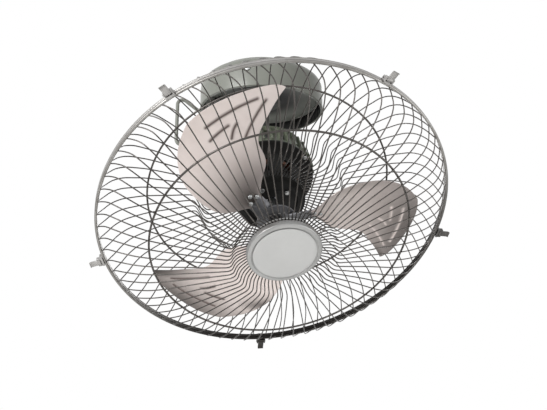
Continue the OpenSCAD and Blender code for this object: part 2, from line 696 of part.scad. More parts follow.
module motor_rear_cover() color([0.37, 0.4, 0.35]) head_frame() difference() {
    rotate_extrude() polygon(concat(
        [[motor_bore_r, body_z1], [motor_r + 1, body_z1], [motor_r + 1, back_flange_z],
         [motor_r - 1.5, back_flange_z]],
        arc(motor_r - 13.5, back_z1 - 11, 11, 0, 90, 6),
        [[0, back_z1], [0, back_z1 - cover_wall], [bearing_r + run_gap, back_z1 - cover_wall],
         [bearing_r + run_gap, back_z1 - 12], [bearing_r + 4, back_z1 - 12],
         [bearing_r + 4, back_z1 - cover_wall]],
        arc(motor_r - 13.5, back_z1 - 11, 11 - cover_wall, 90, 0, 6)));
    through_holes(bolt_r + seat_gap);
    for (i = [0:3]) rotate([0, 0, 45 + i * 90]) translate([bracket_screw_r, 0, back_z1 - 9])
        cylinder(r = 2 + run_gap, h = 12, $fn = 32);
}

module motor_body() color([0.1, 0.1, 0.1]) head_frame() difference() {
    union() {
        difference() {
            union() {
                washer(motor_bore_r, motor_r, body_z0, body_z1);
                for (i = [0:fin_count - 1]) rotate([0, 0, (i + 0.5) * 360 / fin_count])
                    translate([motor_r - 1, -1.5, body_z0 + 2]) cube([fin_h + 1, 3, body_h - 4]);
            }
            // air slots between every other pair of fins
            for (i = [0:fin_count / 2 - 1]) rotate([0, 0, i * 720 / fin_count])
                translate([motor_bore_r - 1, -2.5, body_z0 + 8]) cube([8, 5, body_h - 16]);
        }
        intersection() {
            for (z = boss_levels) translate([0, 0, z]) rod_x(5, -eye_x, -motor_bore_r + 1);
            washer(motor_bore_r, eye_x + 2, body_z0, body_z1);
        }
    }
    for (z = boss_levels) translate([0, 0, z]) rod_x(2 + run_gap, -eye_x - 1, -motor_bore_r + 2);
    through_holes(bolt_r + seat_gap);
}

module motor_front_cover() color([0.15, 0.15, 0.15]) head_frame() difference() {
    rotate_extrude() polygon([
        [shaft_r + 2, face_z], [39, face_z], [41, face_z + 2], [43, face_z + 16],
        [52.5, face_z + 38], [55.5, face_z + 46], [motor_bore_r, cover_z],
        [motor_r + 1, cover_z], [motor_r + 1, body_z0], [motor_bore_r - 1, body_z0],
        [53, face_z + 48.6], [50.2, face_z + 39], [40.6, face_z + 17], [38.6, face_z + 3.2],
        [bearing_r + 4, face_z + 3.2], [bearing_r + 4, face_z + 14], [bearing_r + run_gap, face_z + 14],
        [bearing_r + run_gap, face_z + 3.8], [shaft_r + 2, face_z + 3.8]]);
    // eight windows in the cone
    for (i = [0:7]) rotate([0, 0, 22.5 + i * 45]) translate([36, -8, face_z + 19]) cube([30, 16, 21]);
    for (i = [0:3]) rotate([0, 0, 45 + i * 90]) translate([28, 0, face_z - 5])
        cylinder(r = 2 + run_gap, h = 12, $fn = 32);
    through_holes(bolt_r + seat_gap);
}

module through_bolts() color([0.75, 0.75, 0.75]) head_frame() for (i = [0:3])
    rotate([0, 0, 45 + i * 90]) translate([bolt_pcd_r, 0, cover_z]) rotate([180, 0, 0])
        screw(3.2, 2.4, bolt_r, back_flange_z - cover_z - 0.8, $fn = 32);

module stator_core() color([0.5, 0.5, 0.52]) head_frame() difference() {
    washer(rotor_r + 0.6, motor_bore_r - seat_gap, stator_z[0], stator_z[1]);
    for (i = [0:23]) rotate([0, 0, i * 15]) translate([rotor_r + 3, -2, stator_z[0] - 1])
        cube([20, 4, stator_z[1] - stator_z[0] + 2]);
}

// Twelve coil ends in front of the core, shaped to the cone of the front cover, and twelve behind it
module stator_windings() color([0.4, 0.22, 0.13]) head_frame() for (i = [0:11]) rotate([0, 0, i * 30]) {
    rotate_extrude(angle = 26) polygon([
        [rotor_r + 3.6, face_z + 38], [motor_bore_r - 23, face_z + 36.5],
        [motor_bore_r - 21.4, face_z + 38], [motor_bore_r - 18.8, face_z + 47.5],
        [motor_bore_r - 12.5, cover_z + 2], [motor_bore_r - 12.5, stator_z[0]],
        [rotor_r + 3.6, stator_z[0]]]);
    rotate_extrude(angle = 26) polygon([
        [rotor_r + 6.6, stator_z[1]], [motor_bore_r - 10, stator_z[1]],
        [motor_bore_r - 10, body_z1 + 1], [motor_bore_r - 13, body_z1 + 4],
        [rotor_r + 9.6, body_z1 + 4], [rotor_r + 6.6, body_z1 + 1]]);
}

module motor_bearings() color([0.82, 0.82, 0.84]) head_frame() {
    washer(shaft_r + run_gap, bearing_r, face_z + 3.8, face_z + 13);
    washer(shaft_r + run_gap, bearing_r, back_z1 - 12, back_z1 - cover_wall - 1);
}

module guard_plate() color([0.12, 0.12, 0.12]) head_frame() difference() {
    rotate_extrude() polygon([
        [shaft_r + 3, face_z], [shaft_r + 3, face_z - 3], [40, face_z - 3],
        [40, rear_ring_z - ring_d / 2 - 2.8], [rear_ring_r + 4, rear_ring_z - ring_d / 2 - 2.8],
        [rear_ring_r + 4, rear_ring_z - ring_d / 2 - 0.3],
        [rear_ring_r - ring_d / 2 - 0.3, rear_ring_z - ring_d / 2 - 0.3],
        [rear_ring_r - ring_d / 2 - 0.3, face_z]]);
    for (i = [0:3]) rotate([0, 0, 45 + i * 90]) translate([28, 0, face_z - 9])
        cylinder(r = 2 + run_gap, h = 12, $fn = 32);
}

module guard_screws() color([0.8, 0.8, 0.8]) head_frame() for (i = [0:3]) rotate([0, 0, 45 + i * 90])
    translate([28, 0, face_z - 3]) rotate([180, 0, 0]) screw(4, 2.4, 2, 6, $fn = 40);

// ---- guards ----

// A point of a guard: radius, clock angle and depth in front of the ring plane
function front_point(r, a, f) = [r * cos(a), -r * sin(a), -f];

// One wire of a guard: side is 1 in front of the ring plane and -1 behind it
module guard_wire(path, side, turn) sweep(
    [for (s = path) front_point(s[0], turn + s[2], side * s[1])],
    [for (s = path) front_point(1, turn + s[2] + 90, 0)], wire_d / 2, wire_sides);

module rear_guard_wires() color([0.5, 0.48, 0.46]) head_frame()
    for (i = [0:wire_count - 1]) guard_wire(rear_wire, -1, rear_turn + i * 360 / wire_count);

module front_guard_wires() color([0.5, 0.48, 0.46]) head_frame()
    for (i = [0:wire_count - 1]) guard_wire(front_wire, 1, i * 360 / wire_count);

module rear_guard_rings() color([0.45, 0.44, 0.42]) head_frame() {
    wire_ring(rear_ring_r, ring_d, rear_ring_z);
    wire_ring(mid_r, mid_d, mid_z);
    wire_ring(rim_r, rim_wire_d, rim_z);
}

module front_guard_rings() color([0.45, 0.44, 0.42]) head_frame() {
    wire_ring(badge_ring_r, ring_d, -badge_ring_f);
    wire_ring(mid_r, mid_d, -mid_f);
    wire_ring(rim_r, rim_wire_d, -rim_z);
}

module rim_band() color([0.62, 0.61, 0.6]) head_frame()
    washer(rim_r - rim_wire_d / 2, rim_r + rim_wire_d / 2, -band_w / 2 + 0.02, band_w / 2 - 0.02);

module badge_cup() color([0.6, 0.6, 0.6]) head_frame() mirror([0, 0, 1]) rotate_extrude() polygon(concat(
    arc(badge_r - 2, badge_ring_f + 10, 2, 90, 0, 4),
    [[badge_r, badge_ring_f + 2.8], [badge_r - 2, badge_ring_f + 2.8], [badge_r - 2, badge_ring_f + 6.5],
     [badge_ring_r - ring_d / 2 - 0.3, badge_ring_f + 6.5],
     [badge_ring_r - ring_d / 2 - 0.3, badge_ring_f - ring_d / 2 - 0.3],
     [badge_ring_r + 2, badge_ring_f - ring_d / 2 - 0.3], [badge_ring_r + 2, badge_ring_f - 5],
     [badge_ring_r - 5, badge_ring_f - 5], [badge_ring_r - 5, badge_ring_f + 9], [0, badge_ring_f + 9],
     [0, badge_ring_f + 12]]));

module badge_plate() color([0.77, 0.77, 0.77]) head_frame() translate([0, 0, -badge_ring_f - 13.2])
    cylinder(r = badge_r - 8.5, h = 1.2);

// ---- clips ----

// Local frame of a clip: x out of the rim, y along it, z towards the rear guard
module at_clip(i) head_frame() clock(clip_angles[i]) translate([rim_r, 0, 0]) children();

module clip_bases() color([0.4, 0.4, 0.39]) for (i = [0:len(clip_angles) - 1]) at_clip(i) {
    translate([clip_inner, -clip_w / 2 - 2.2, -clip_top]) cube([2, clip_w + 4.4, clip_top + 2]);
    translate([1.5, -clip_w / 2 - 2.2, -clip_top - 1.6]) cube([clip_inner + 0.5, clip_w + 4.4, 1.7]);
    for (s = [-1, 1]) translate([clip_inner, s * (clip_w / 2 + 1.3) - 0.9, clip_pin_z - 2.5])
        cube([clip_pin_x - clip_inner + 2.5, 1.8, 5]);
    translate([clip_pin_x, 0, clip_pin_z]) rotate([90, 0, 0])
        cylinder(r = clip_pin_r, h = clip_w + 6, center = true, $fn = 32);
}

module clip_lever(i) color([0.5, 0.5, 0.49]) at_clip(i) translate([clip_pin_x, 0, clip_pin_z])
    rotate([90, 0, 0]) difference() {
        union() {
            cylinder(r = 3, h = clip_w - 0.2, center = true, $fn = 32);
            // arm and hook over the rear rim wire, then the finger tab
            linear_extrude(clip_w - 0.2, center = true) polygon([
                [-2.6, -0.6], [-2.6, clip_hook_z], [-clip_pin_x + 0.5, clip_hook_z],
                [-clip_pin_x + 0.5, clip_hook_z + 1.8], [-1.6, clip_hook_z + 1.8],
                [-0.6, clip_hook_z + 0.8], [-0.6, -0.8], [clip_tab - 2, -1.2], [clip_tab, -2.8],
                [clip_tab, -4.6], [clip_tab - 2, -3], [-0.6, -2.6]]);
        }
        cylinder(r = clip_pin_r + run_gap, h = clip_w + 2, center = true, $fn = 32);
    }

module clip_lever_1() clip_lever(0);
module clip_lever_2() clip_lever(1);
module clip_lever_3() clip_lever(2);
module clip_lever_4() clip_lever(3);
module clip_lever_5() clip_lever(4);

// ---- rotor ----

module motor_shaft() color([0.75, 0.75, 0.76]) head_frame() difference() {
    translate([0, 0, -14]) cylinder(r = shaft_r, h = back_z1 - cover_wall - 1 + 14);
    translate([-shaft_r, shaft_r - 1, -15]) cube([2 * shaft_r, 2, 9]);
}

module rotor_core() color([0.55, 0.55, 0.57]) head_frame()
    washer(shaft_r + run_gap, rotor_r, stator_z[0] - 2, stator_z[1] + 2);

// Depth of a blade in front of the ring plane, a degrees behind its tip
function blade_f(r, a) = hub_f + (a - root_mid) * blade_rise * min(1, r / twist_r);

// Point t of a smooth curve through a list of points
function curve(pts, t) = let (
    n = len(pts) - 1, i = min(n - 1, floor(t * n)), u = t * n - i,
    p1 = pts[i], p2 = pts[i + 1], p0 = pts[max(0, i - 1)], p3 = pts[min(n, i + 2)])
    p1 + u * (p2 - p0 + u * (2 * p0 - 5 * p1 + 4 * p2 - p3 + u * (3 * p1 - p0 - 3 * p2 + p3))) / 2;

// [radius, degrees from tip] of a blade at t from root to tip and s across it
function blade_polar(t, s) = let (a = curve(lead_edge, t), b = curve(trail_edge, t))
    [blade_tip_r * (a[0] + (b[0] - a[0]) * s), a[1] + (b[1] - a[1]) * s];

// Sheet of a blade, drawn from a grid of rows and columns
module blade_sheet() {
    nc = blade_cols + 1;
    nr = blade_rows + 1;
    side = nr * nc;
    points = [for (k = [1, -1]) for (i = [0:blade_rows]) for (j = [0:blade_cols]) let (
        q = blade_polar(i / blade_rows, j / blade_cols))
        front_point(q[0], q[1], blade_f(q[0], q[1]) + k * blade_t / 2)];
    rim = concat([for (i = [0:blade_rows - 1]) i * nc], [for (j = [0:blade_cols - 1]) blade_rows * nc + j],
        [for (i = [blade_rows:-1:1]) i * nc + blade_cols], [for (j = [blade_cols:-1:1]) j]);
    solid(points, concat(
        [for (i = [0:blade_rows - 1]) for (j = [0:blade_cols - 1]) let (a = i * nc + j)
            each [[a, a + nc, a + nc + 1], [a, a + nc + 1, a + 1]]],
        [for (i = [0:blade_rows - 1]) for (j = [0:blade_cols - 1]) let (a = side + i * nc + j)
            each [[a + nc + 1, a + nc, a], [a + 1, a + nc + 1, a]]],
        [for (k = [0:len(rim) - 1]) let (a = rim[k], b = rim[(k + 1) % len(rim)])
            each [[a, side + a, side + b], [a, side + b, b]]]));
}

// A pressed rib standing on the front of the sheet
module blade_rib(rib) {
    n = 4;
    pts = [for (i = [0:n]) let (q = curve(rib, i / n), r = q[0] * blade_tip_r)
        front_point(r, q[1], blade_f(r, q[1]) + blade_t / 2 - 0.2)];
    along = [for (i = [0:n]) let (d = pts[min(i + 1, n)] - pts[max(i - 1, 0)]) d / norm(d)];
    points = [for (i = [0:n]) let (
        w = cross(along[i], [0, 0, -1]), taper = (i == 0 || i == n) ? 0.4 : 1)
        for (c = [[-1, 0], [0, 1], [1, 0], [0, -0.3]])
            pts[i] + w * c[0] * rib_w / 2 * taper - [0, 0, c[1] * rib_h * (c[1] > 0 ? taper : 1)]];
    solid(points, concat(
        [[3, 2, 1, 0], [4 * n, 4 * n + 1, 4 * n + 2, 4 * n + 3]],
        [for (i = [0:n - 1]) for (k = [0:3]) let (a = 4 * i + k, b = 4 * i + (k + 1) % 4)
            each [[a, b, b + 4], [a, b + 4, a + 4]]]));
}

module rivet_places(i) for (p = rivets) clock(tip_clock[i] + root_mid) translate([0, 0, -hub_f])
    rotate([hub_pitch, 0, 0]) translate([p[0], p[1], 0]) children();

module blade(i) color([0.8, 0.77, 0.76]) head_frame() difference() {
    clock(tip_clock[i]) {
        blade_sheet();
        for (rib = ribs) blade_rib(rib);
    }
    rivet_places(i) cylinder(r = rivet_r + run_gap, h = 12, center = true, $fn = 24);
}

module blade_1() blade(0);
module blade_2() blade(1);
module blade_3() blade(2);

module blade_hub() color([0.72, 0.72, 0.72]) head_frame() difference() {
    union() {
        translate([0, 0, -hub_f + 1]) cylinder(r = hub_disc_r, h = hub_disc_t);
        translate([0, 0, -hub_f + 1]) cylinder(r = hub_boss_r, h = hub_boss_h);
        for (i = [0:blade_count - 1]) clock(tip_clock[i] + root_mid) translate([0, 0, -hub_f])
            rotate([hub_pitch, 0, 0]) translate([18, -arm_w / 2, 1]) cube([arm_out - 18, arm_w, arm_t]);
    }
    translate([0, 0, -hub_boss_h]) cylinder(r = shaft_r + run_gap, h = 3 * hub_boss_h);
    for (i = [0:blade_count - 1]) rivet_places(i)
        cylinder(r = rivet_r + run_gap, h = 12, center = true, $fn = 24);
}

module blade_rivets() color([0.7, 0.7, 0.7]) head_frame() for (i = [0:blade_count - 1]) rivet_places(i) {
    translate([0, 0, -blade_t / 2 - 0.4]) rotate([180, 0, 0])
        screw(3.6, 1.6, rivet_r, arm_t + blade_t + 1, $fn = 24);
    translate([0, 0, 1 + arm_t]) screw(3.2, 1.2, rivet_r, 1, $fn = 24);
}

module shaft_nut() color([0.12, 0.12, 0.12]) head_frame() difference() {
    intersection() {
        translate([0, 0, -hub_f - 9]) cylinder(r = 12, h = 10, $fn = 6);
        translate([0, 0, -hub_f + 1]) rotate([180, 0, 0]) rotate_extrude() polygon(concat(
            [[0, 0], [12, 0]], arc(6, 4, 6, 0, 90, 6), [[0, 10]]));
    }
    translate([0, 0, -14.2]) cylinder(r = shaft_r + run_gap, h = 12);
}

ceiling_plate();
spacer_posts();
gear_plate();
canopy_shell();
skirt_liner();
canopy_screws();
gear_plate_screws();
bearing_housing();
bearing_outer_race();
bearing_balls();
orbit_motor();
terminal_block();
brush_holder();
drive_pinion();
turntable_disc();
spindle();
bearing_inner_race();
spindle_nut();
orbit_gear();
slip_ring_disc();
slip_rings();
neck_casting();
neck_screws();
tilt_bolt();
stay_rod();
stay_clamp();
clamp_knob();
tilt_knuckle();
bracket_screws();
stay_bracket();
motor_rear_cover();
motor_body();
motor_front_cover();
through_bolts();
stator_core();
stator_windings();
motor_bearings();
guard_plate();
guard_screws();
rear_guard_wires();
rear_guard_rings();
front_guard_wires();
front_guard_rings();
rim_band();
clip_bases();
badge_cup();
badge_plate();
motor_shaft();
rotor_core();
blade_hub();
blade_1();
blade_2();
blade_3();
blade_rivets();
shaft_nut();
clip_lever_1();
clip_lever_2();
clip_lever_3();
clip_lever_4();
clip_lever_5();
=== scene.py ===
"""Orbital ceiling fan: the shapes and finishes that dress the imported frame.

Sizes inside the classes are millimetres. A piece is built in one of two working frames, the ceiling's or the
tilted head's, and then laid into the row frame in metres, with its object at the origin.
"""

import logging
import math
from dataclasses import dataclass
from enum import Enum
from functools import lru_cache
from typing import Any, Iterable, Sequence

import bmesh
import bpy
from mathutils import Matrix, Vector


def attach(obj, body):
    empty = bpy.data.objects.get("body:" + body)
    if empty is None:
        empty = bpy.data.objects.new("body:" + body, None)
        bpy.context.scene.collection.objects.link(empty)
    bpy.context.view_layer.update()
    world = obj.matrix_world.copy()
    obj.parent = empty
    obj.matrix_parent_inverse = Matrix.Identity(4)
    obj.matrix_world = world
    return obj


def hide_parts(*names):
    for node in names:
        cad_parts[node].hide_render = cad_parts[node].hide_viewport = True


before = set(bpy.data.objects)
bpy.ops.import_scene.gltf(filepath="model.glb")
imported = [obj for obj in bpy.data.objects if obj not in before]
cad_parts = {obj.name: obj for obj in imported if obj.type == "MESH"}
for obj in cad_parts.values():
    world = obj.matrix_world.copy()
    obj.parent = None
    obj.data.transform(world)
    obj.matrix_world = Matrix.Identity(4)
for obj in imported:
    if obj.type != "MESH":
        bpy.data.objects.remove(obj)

LOG = logging.getLogger("orbit_fan")
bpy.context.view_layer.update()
MM = 0.001

Point = tuple[float, float]
Station = tuple[float, float, float]
# Head radius, head height, shank radius and shank length.
ScrewSize = tuple[float, float, float, float]

CEILING = Matrix.Identity(4)
TILT = math.radians(-36.0)
PIVOT = Vector((0.0, 0.014, -0.126))
HEAD = Matrix.Translation(PIVOT) @ Matrix.Rotation(TILT, 4, "X") @ Matrix.Translation((0.0, 0.0, -0.178))
UPSIDE_DOWN = Matrix.Rotation(math.pi, 4, "X")
ALONG_X = Matrix.Rotation(math.radians(90), 4, "Y")
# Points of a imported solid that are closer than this, in millimetres, are one.
SAME_POINT = 0.004
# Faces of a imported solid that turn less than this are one.
SAME_PLANE = math.radians(0.6)


# ---------------------------------------------------------------- materials


def linear(code: str) -> tuple[float, float, float, float]:
    """Turns an sRGB hex colour into linear light.

    Args:
        code: six hex digits.

    Returns:
        Red, green, blue and an alpha of 1.
    """
    parts = [int(code[i : i + 2], 16) / 255 for i in (0, 2, 4)]
    return (*(c / 12.92 if c <= 0.04045 else ((c + 0.055) / 1.055) ** 2.4 for c in parts), 1.0)


def add(
    tree: bpy.types.NodeTree, kind: str, settings: dict[Any, Any], links: dict[Any, Any] | None = None
) -> Any:
    """Adds one node with its settings and links.

    Args:
        tree: the node tree.
        kind: the node type without its ShaderNode prefix.
        settings: values by socket name or number, or by attribute name.
        links: output sockets by the name or number of the input that they feed.

    Returns:
        The new node.
    """
    made = tree.nodes.new("ShaderNode" + kind)
    for key, value in settings.items():
        if isinstance(key, int) or key in made.inputs:
            made.inputs[key].default_value = value
        else:
            setattr(made, key, value)
    for key, source in (links or {}).items():
        tree.links.new(source, made.inputs[key])
    return made


def from_axis(tree: bpy.types.NodeTree, local: Any) -> Any:
    """The socket of the distance from the Z axis."""
    flat = add(tree, "VectorMath", {"operation": "MULTIPLY", 1: (1.0, 1.0, 0.0)}, {0: local})
    return add(tree, "VectorMath", {"operation": "LENGTH"}, {0: flat.outputs[0]}).outputs["Value"]


class Relief(Enum):
    """How a surface was made, which sets the shape of its fine relief."""

    PEEL = "sprayed"
    BRUSH = "rolled one way"
    SPUN = "turned about an axis"
    CAST = "cast"
    MOULD = "moulded"
    STACK = "stacked sheets"


# Scale of the relief along X, Y and Z: a small share draws it out along that axis.
DRAWN_OUT = {Relief.BRUSH: (0.04, 1.0, 1.0), Relief.STACK: (0.01, 0.01, 1.0)}
# Size of the speck pattern in millimetres.
SPECK_SIZE = 3.5
SPECK_TINT = "6A6258"


@dataclass(frozen=True)
class PaintedShade:
    """Painted shade: a slow change of tone towards one side, in the frame that the pattern follows.

    Attributes:
        way: direction in which the surface darkens, or zero for towards the axis.
        start: distance along it at which the painted shade starts, in millimetres.
        end: distance at which it is complete.
        colour: tint that the surface is multiplied with there, sRGB hex.
    """

    way: tuple[float, float, float]
    start: float
    end: float
    colour: str


@dataclass(frozen=True)
class SheetShade:
    """Painted shade that a mesh places through two of its attributes, both from 0 to 1.

    Attributes:
        groove: tint of the painted shade along the pressed ribs, sRGB hex.
        patch_shade: tint of the painted shade in soft patches on the open sheet, sRGB hex.
    """

    groove: str
    patch_shade: str


@dataclass(frozen=True)
class Finish:
    """One real surface: what it is made of and how.

    Attributes:
        name: the material's common name.
        colour: main colour, sRGB hex.
        tint: colour of the slow variation, sRGB hex.
        metallic: 1 for bare metal.
        roughness: mean roughness.
        spread: how far the roughness wanders.
        relief: kind of fine relief.
        grain: size of the fine relief in millimetres.
        height: its height in millimetres.
        patch: size of the slow variation in millimetres.
        coat: strength of a clear or glossy top layer.
        tilted: whether the pattern follows the tilted head.
        grime: strength of the dark specks.
        gloss: strength of the surface reflection, 0.5 for a smooth solid.
        painted_shade: painted shade towards one side.
        sheet_shade: painted shade placed by the mesh.
    """

    name: str
    colour: str
    tint: str
    metallic: float
    roughness: float
    spread: float
    relief: Relief
    grain: float
    height: float
    patch: float = 40.0
    coat: float = 0.0
    tilted: bool = False
    grime: float = 0.0
    gloss: float = 0.5
    painted_shade: PaintedShade | None = None
    sheet_shade: SheetShade | None = None

    def stretched(self, tree: bpy.types.NodeTree, local: Any) -> Any:
        """Bends the coordinates to the direction in which the surface was worked.

        Args:
            tree: the material's node tree.
            local: coordinates in millimetres.

        Returns:
            The socket that the fine relief reads.
        """
        if self.relief in DRAWN_OUT:
            scale = {"operation": "MULTIPLY", 1: DRAWN_OUT[self.relief]}
            return add(tree, "VectorMath", scale, {0: local}).outputs[0]
        if self.relief is Relief.SPUN:
            return add(tree, "CombineXYZ", {}, {"X": from_axis(tree, local)}).outputs[0]
        return local

    def toned(self, tree: bpy.types.NodeTree, local: Any, base: Any) -> Any:
        """Lays specks and painted shade over the colour.

        Args:
            tree: the material's node tree.
            local: coordinates in millimetres.
            base: the clean colour.

        Returns:
            The socket of the toned colour.
        """
        layers: list[tuple[Any, str]] = []
        if self.grime:
            pattern = {"Scale": 1 / SPECK_SIZE, "Detail": 6.0, "Roughness": 0.7}
            specks = add(tree, "TexNoise", pattern, {"Vector": local})
            span = {"From Min": 0.56, "From Max": 0.74, "To Min": 0.0, "To Max": self.grime}
            spots = add(tree, "MapRange", span, {"Value": specks.outputs["Fac"]})
            layers.append((spots.outputs[0], SPECK_TINT))
        # Painted shade, towards one side or towards the axis.
        if self.painted_shade:
            dark = self.painted_shade
            if any(dark.way):
                product = {"operation": "DOT_PRODUCT", 1: dark.way}
                along = add(tree, "VectorMath", product, {0: local}).outputs["Value"]
            else:
                along = from_axis(tree, local)
            span = {"From Min": dark.start, "From Max": dark.end, "interpolation_type": "SMOOTHSTEP"}
            layers.append((add(tree, "MapRange", span, {"Value": along}).outputs[0], dark.colour))
        # Painted shade that the mesh places along the blades' ribs and in soft patches.
        if self.sheet_shade:
            for name, tint in (("groove", self.sheet_shade.groove), ("patch_shade", self.sheet_shade.patch_shade)):
                placed = add(tree, "Attribute", {"attribute_name": name})
                layers.append((placed.outputs["Fac"], tint))
        for mask, tint in layers:
            base = add(
                tree,
                "Mix",
                {"data_type": "RGBA", "blend_type": "MULTIPLY", 7: linear(tint)},
                {"Factor": mask, 6: base},
            ).outputs[2]
        return base

    def material(self) -> bpy.types.Material:
        """Builds the node tree.

        Returns:
            The material, named for what it is.
        """
        made = bpy.data.materials.new(self.name)
        made.use_nodes = True
        tree = made.node_tree
        shader = tree.nodes["Principled BSDF"]
        place = HEAD if self.tilted else CEILING
        coords = add(tree, "TexCoord", {})
        local = add(
            tree,
            "Mapping",
            {
                "vector_type": "TEXTURE",
                "Location": place.to_translation(),
                "Rotation": place.to_euler(),
                "Scale": (MM, MM, MM),
            },
            {"Vector": coords.outputs["Object"]},
        ).outputs[0]
        pattern = {"Scale": 1 / self.patch, "Detail": 4.0, "Roughness": 0.6}
        slow = add(tree, "TexNoise", pattern, {"Vector": local})
        colour = add(tree, "ValToRGB", {}, {"Fac": slow.outputs["Fac"]})
        low, high = colour.color_ramp.elements
        low.position, low.color = 0.35, linear(self.colour)
        high.position, high.color = 0.7, linear(self.tint)
        base = self.toned(tree, local, colour.outputs["Color"])
        tree.links.new(base, shader.inputs["Base Color"])
        worked = self.stretched(tree, local)
        fine = add(tree, "TexNoise", {"Scale": 1 / self.grain, "Detail": 3.0}, {"Vector": worked})
        source = fine if self.relief in (Relief.BRUSH, Relief.SPUN) else slow
        rough = add(
            tree,
            "MapRange",
            {
                "From Min": 0.3,
                "From Max": 0.7,
                "To Min": max(0.03, self.roughness - self.spread),
                "To Max": self.roughness + self.spread,
            },
            {"Value": source.outputs["Fac"]},
        )
        tree.links.new(rough.outputs[0], shader.inputs["Roughness"])
        lift = {"Strength": 1.0, "Distance": self.height * MM}
        bump = add(tree, "Bump", lift, {"Height": fine.outputs["Fac"]})
        tree.links.new(bump.outputs[0], shader.inputs["Normal"])
        shader.inputs["Metallic"].default_value = self.metallic
        shader.inputs["Specular IOR Level"].default_value = self.gloss
        shader.inputs["Coat Weight"].default_value = self.coat
        shader.inputs["Coat Roughness"].default_value = 0.12
        return made


@lru_cache(maxsize=None)
def dressed(finish: Finish) -> bpy.types.Material:
    """The one material of a finish, built on its first use."""
    return finish.material()


# Rolled and turned lines and stacked sheets are finer in life than a render can show, and are drawn as coarse
# as they need to be to show.

# Powder coated steel of the canopy and the stay rod: a fine orange peel that blurs the highlight, and painted
# shade that darkens it slowly towards one side.
CANOPY_PAINT = Finish(
    "powder_coated_steel_grey", "868880", "7A7C75", 0.0, 0.40, 0.08, Relief.PEEL, 1.1, 0.05, 60.0, 0.15,
    grime=0.12, painted_shade=PaintedShade((0.9, 0.44, 0.0), -90.0, 60.0, "ADAFA8"),
)
# The turntable's underside: the same coat, with painted shade darkening it towards the neck.
TURNTABLE_PAINT = Finish(
    "powder_coated_steel_shaded", "7E807A", "727470", 0.0, 0.45, 0.08, Relief.PEEL, 1.1, 0.05, 60.0, 0.05,
    grime=0.12, gloss=0.3, painted_shade=PaintedShade((0.0, 0.0, 0.0), 82.0, 42.0, "3A3A38"),
)
# A darker coat over the die castings: the casting's soft unevenness shows through.
CASTING_PAINT = Finish(
    "sprayed_die_casting_dark", "444541", "3A3B38", 0.0, 0.5, 0.08, Relief.CAST, 2.6, 0.12, 30.0, 0.0,
    grime=0.15, gloss=0.3,
)
# Hammertone on the motor's rear dome and finned body: green-grey with a slow mottling.
DOME_PAINT = Finish(
    "hammered_enamel_green_grey", "6E7464", "5C6254", 0.0, 0.38, 0.08, Relief.PEEL, 2.2, 0.10, 18.0, 0.25,
    tilted=True, grime=0.15,
)
# Baked black enamel on the front cover and the guard plate: matt, and rough from the casting.
MOTOR_ENAMEL = Finish(
    "baked_enamel_black", "141413", "1C1C1A", 0.0, 0.5, 0.1, Relief.CAST, 1.6, 0.06, 25.0, 0.0, tilted=True,
    grime=0.2, gloss=0.22,
)
# Nickel plated drawn wire: a warm grey that mirrors the surroundings softly.
PLATED_WIRE = Finish(
    "nickel_plated_wire", "5C5855", "484542", 0.8, 0.3, 0.06, Relief.PEEL, 3.0, 0.01, 22.0, tilted=True
)
# The two thick hoops of the rim: the wires' plating in a lighter tone, a painted highlight, with painted
# shade towards the side that hangs lowest.
PLATED_HOOP = Finish(
    "nickel_plated_hoop", "9C9A97", "86837F", 0.6, 0.34, 0.06, Relief.PEEL, 3.0, 0.01, 22.0, tilted=True,
    painted_shade=PaintedShade((0.5, 0.866, 0.0), -40.0, 200.0, "4C4946"),
)
# Rolled steel of the rim band and its clips: fine lines round it, with painted shade towards the side that
# hangs lowest.
ROLLED_BAND = Finish(
    "rolled_steel_band", "B2B0AE", "9A9896", 0.6, 0.34, 0.07, Relief.SPUN, 0.6, 0.015, 30.0, tilted=True,
    painted_shade=PaintedShade((0.5, 0.866, 0.0), -40.0, 200.0, "4C4946"),
)
# Mill finish aluminium sheet: a warm dull sheen, with painted shade along the ribs and in soft patches.
BLADE_SHEET = Finish(
    "mill_finish_aluminium", "EFE3DF", "E6D9D4", 0.35, 0.32, 0.03, Relief.BRUSH, 3.5, 0.002, 55.0,
    tilted=True, sheet_shade=SheetShade("5A4E49", "3A3734"),
)
# Spun aluminium cup of the badge: rings left by the turning tool.
SPUN_CUP = Finish(
    "spun_aluminium", "ABABAA", "9E9E9D", 0.5, 0.36, 0.08, Relief.SPUN, 0.5, 0.02, 35.0, tilted=True
)
# Satin aluminium plate, lacquered: almost white and without lettering.
BADGE_SHEET = Finish(
    "lacquered_satin_aluminium", "C4C4C3", "BDBDBC", 0.2, 0.42, 0.05, Relief.BRUSH, 0.7, 0.006, 60.0, 0.2,
    tilted=True,
)
# Zinc plated steel of screws and brackets: bluish grey with a faint bloom.
ZINC_STEEL = Finish("zinc_plated_steel", "B4B5B4", "9FA1A2", 0.9, 0.32, 0.08, Relief.PEEL, 1.8, 0.02, 9.0)
# Enamelled copper wire of the windings: lacquered brown-orange.
COPPER_WIRE = Finish(
    "enamelled_copper_wire", "6A4026", "44281A", 0.6, 0.32, 0.08, Relief.STACK, 1.1, 0.06, 12.0, 0.4,
    tilted=True,
)
# Stamped silicon steel of the cores, whose sheets show as fine lines. The pressed hub has the same dull grey.
STAMPED_STEEL = Finish(
    "stamped_silicon_steel", "77777A", "68686B", 0.85, 0.42, 0.1, Relief.STACK, 1.2, 0.08, 20.0, tilted=True
)
# Ground bearing steel: nearly a mirror.
BEARING_STEEL = Finish(
    "ground_bearing_steel", "C2C3C6", "B5B6BA", 1.0, 0.14, 0.04, Relief.SPUN, 0.4, 0.004, 20.0
)
# Moulded black polymer of the liner, knob and nut: a fine spark-eroded grain.
BLACK_POLYMER = Finish(
    "moulded_black_polymer", "1D1D1C", "262625", 0.0, 0.5, 0.08, Relief.MOULD, 0.7, 0.03, 30.0
)
# Moulded natural nylon of the gears: waxy and cream.
NYLON = Finish("moulded_natural_nylon", "E4DFD0", "D8D2C0", 0.0, 0.38, 0.05, Relief.MOULD, 1.5, 0.02, 15.0)
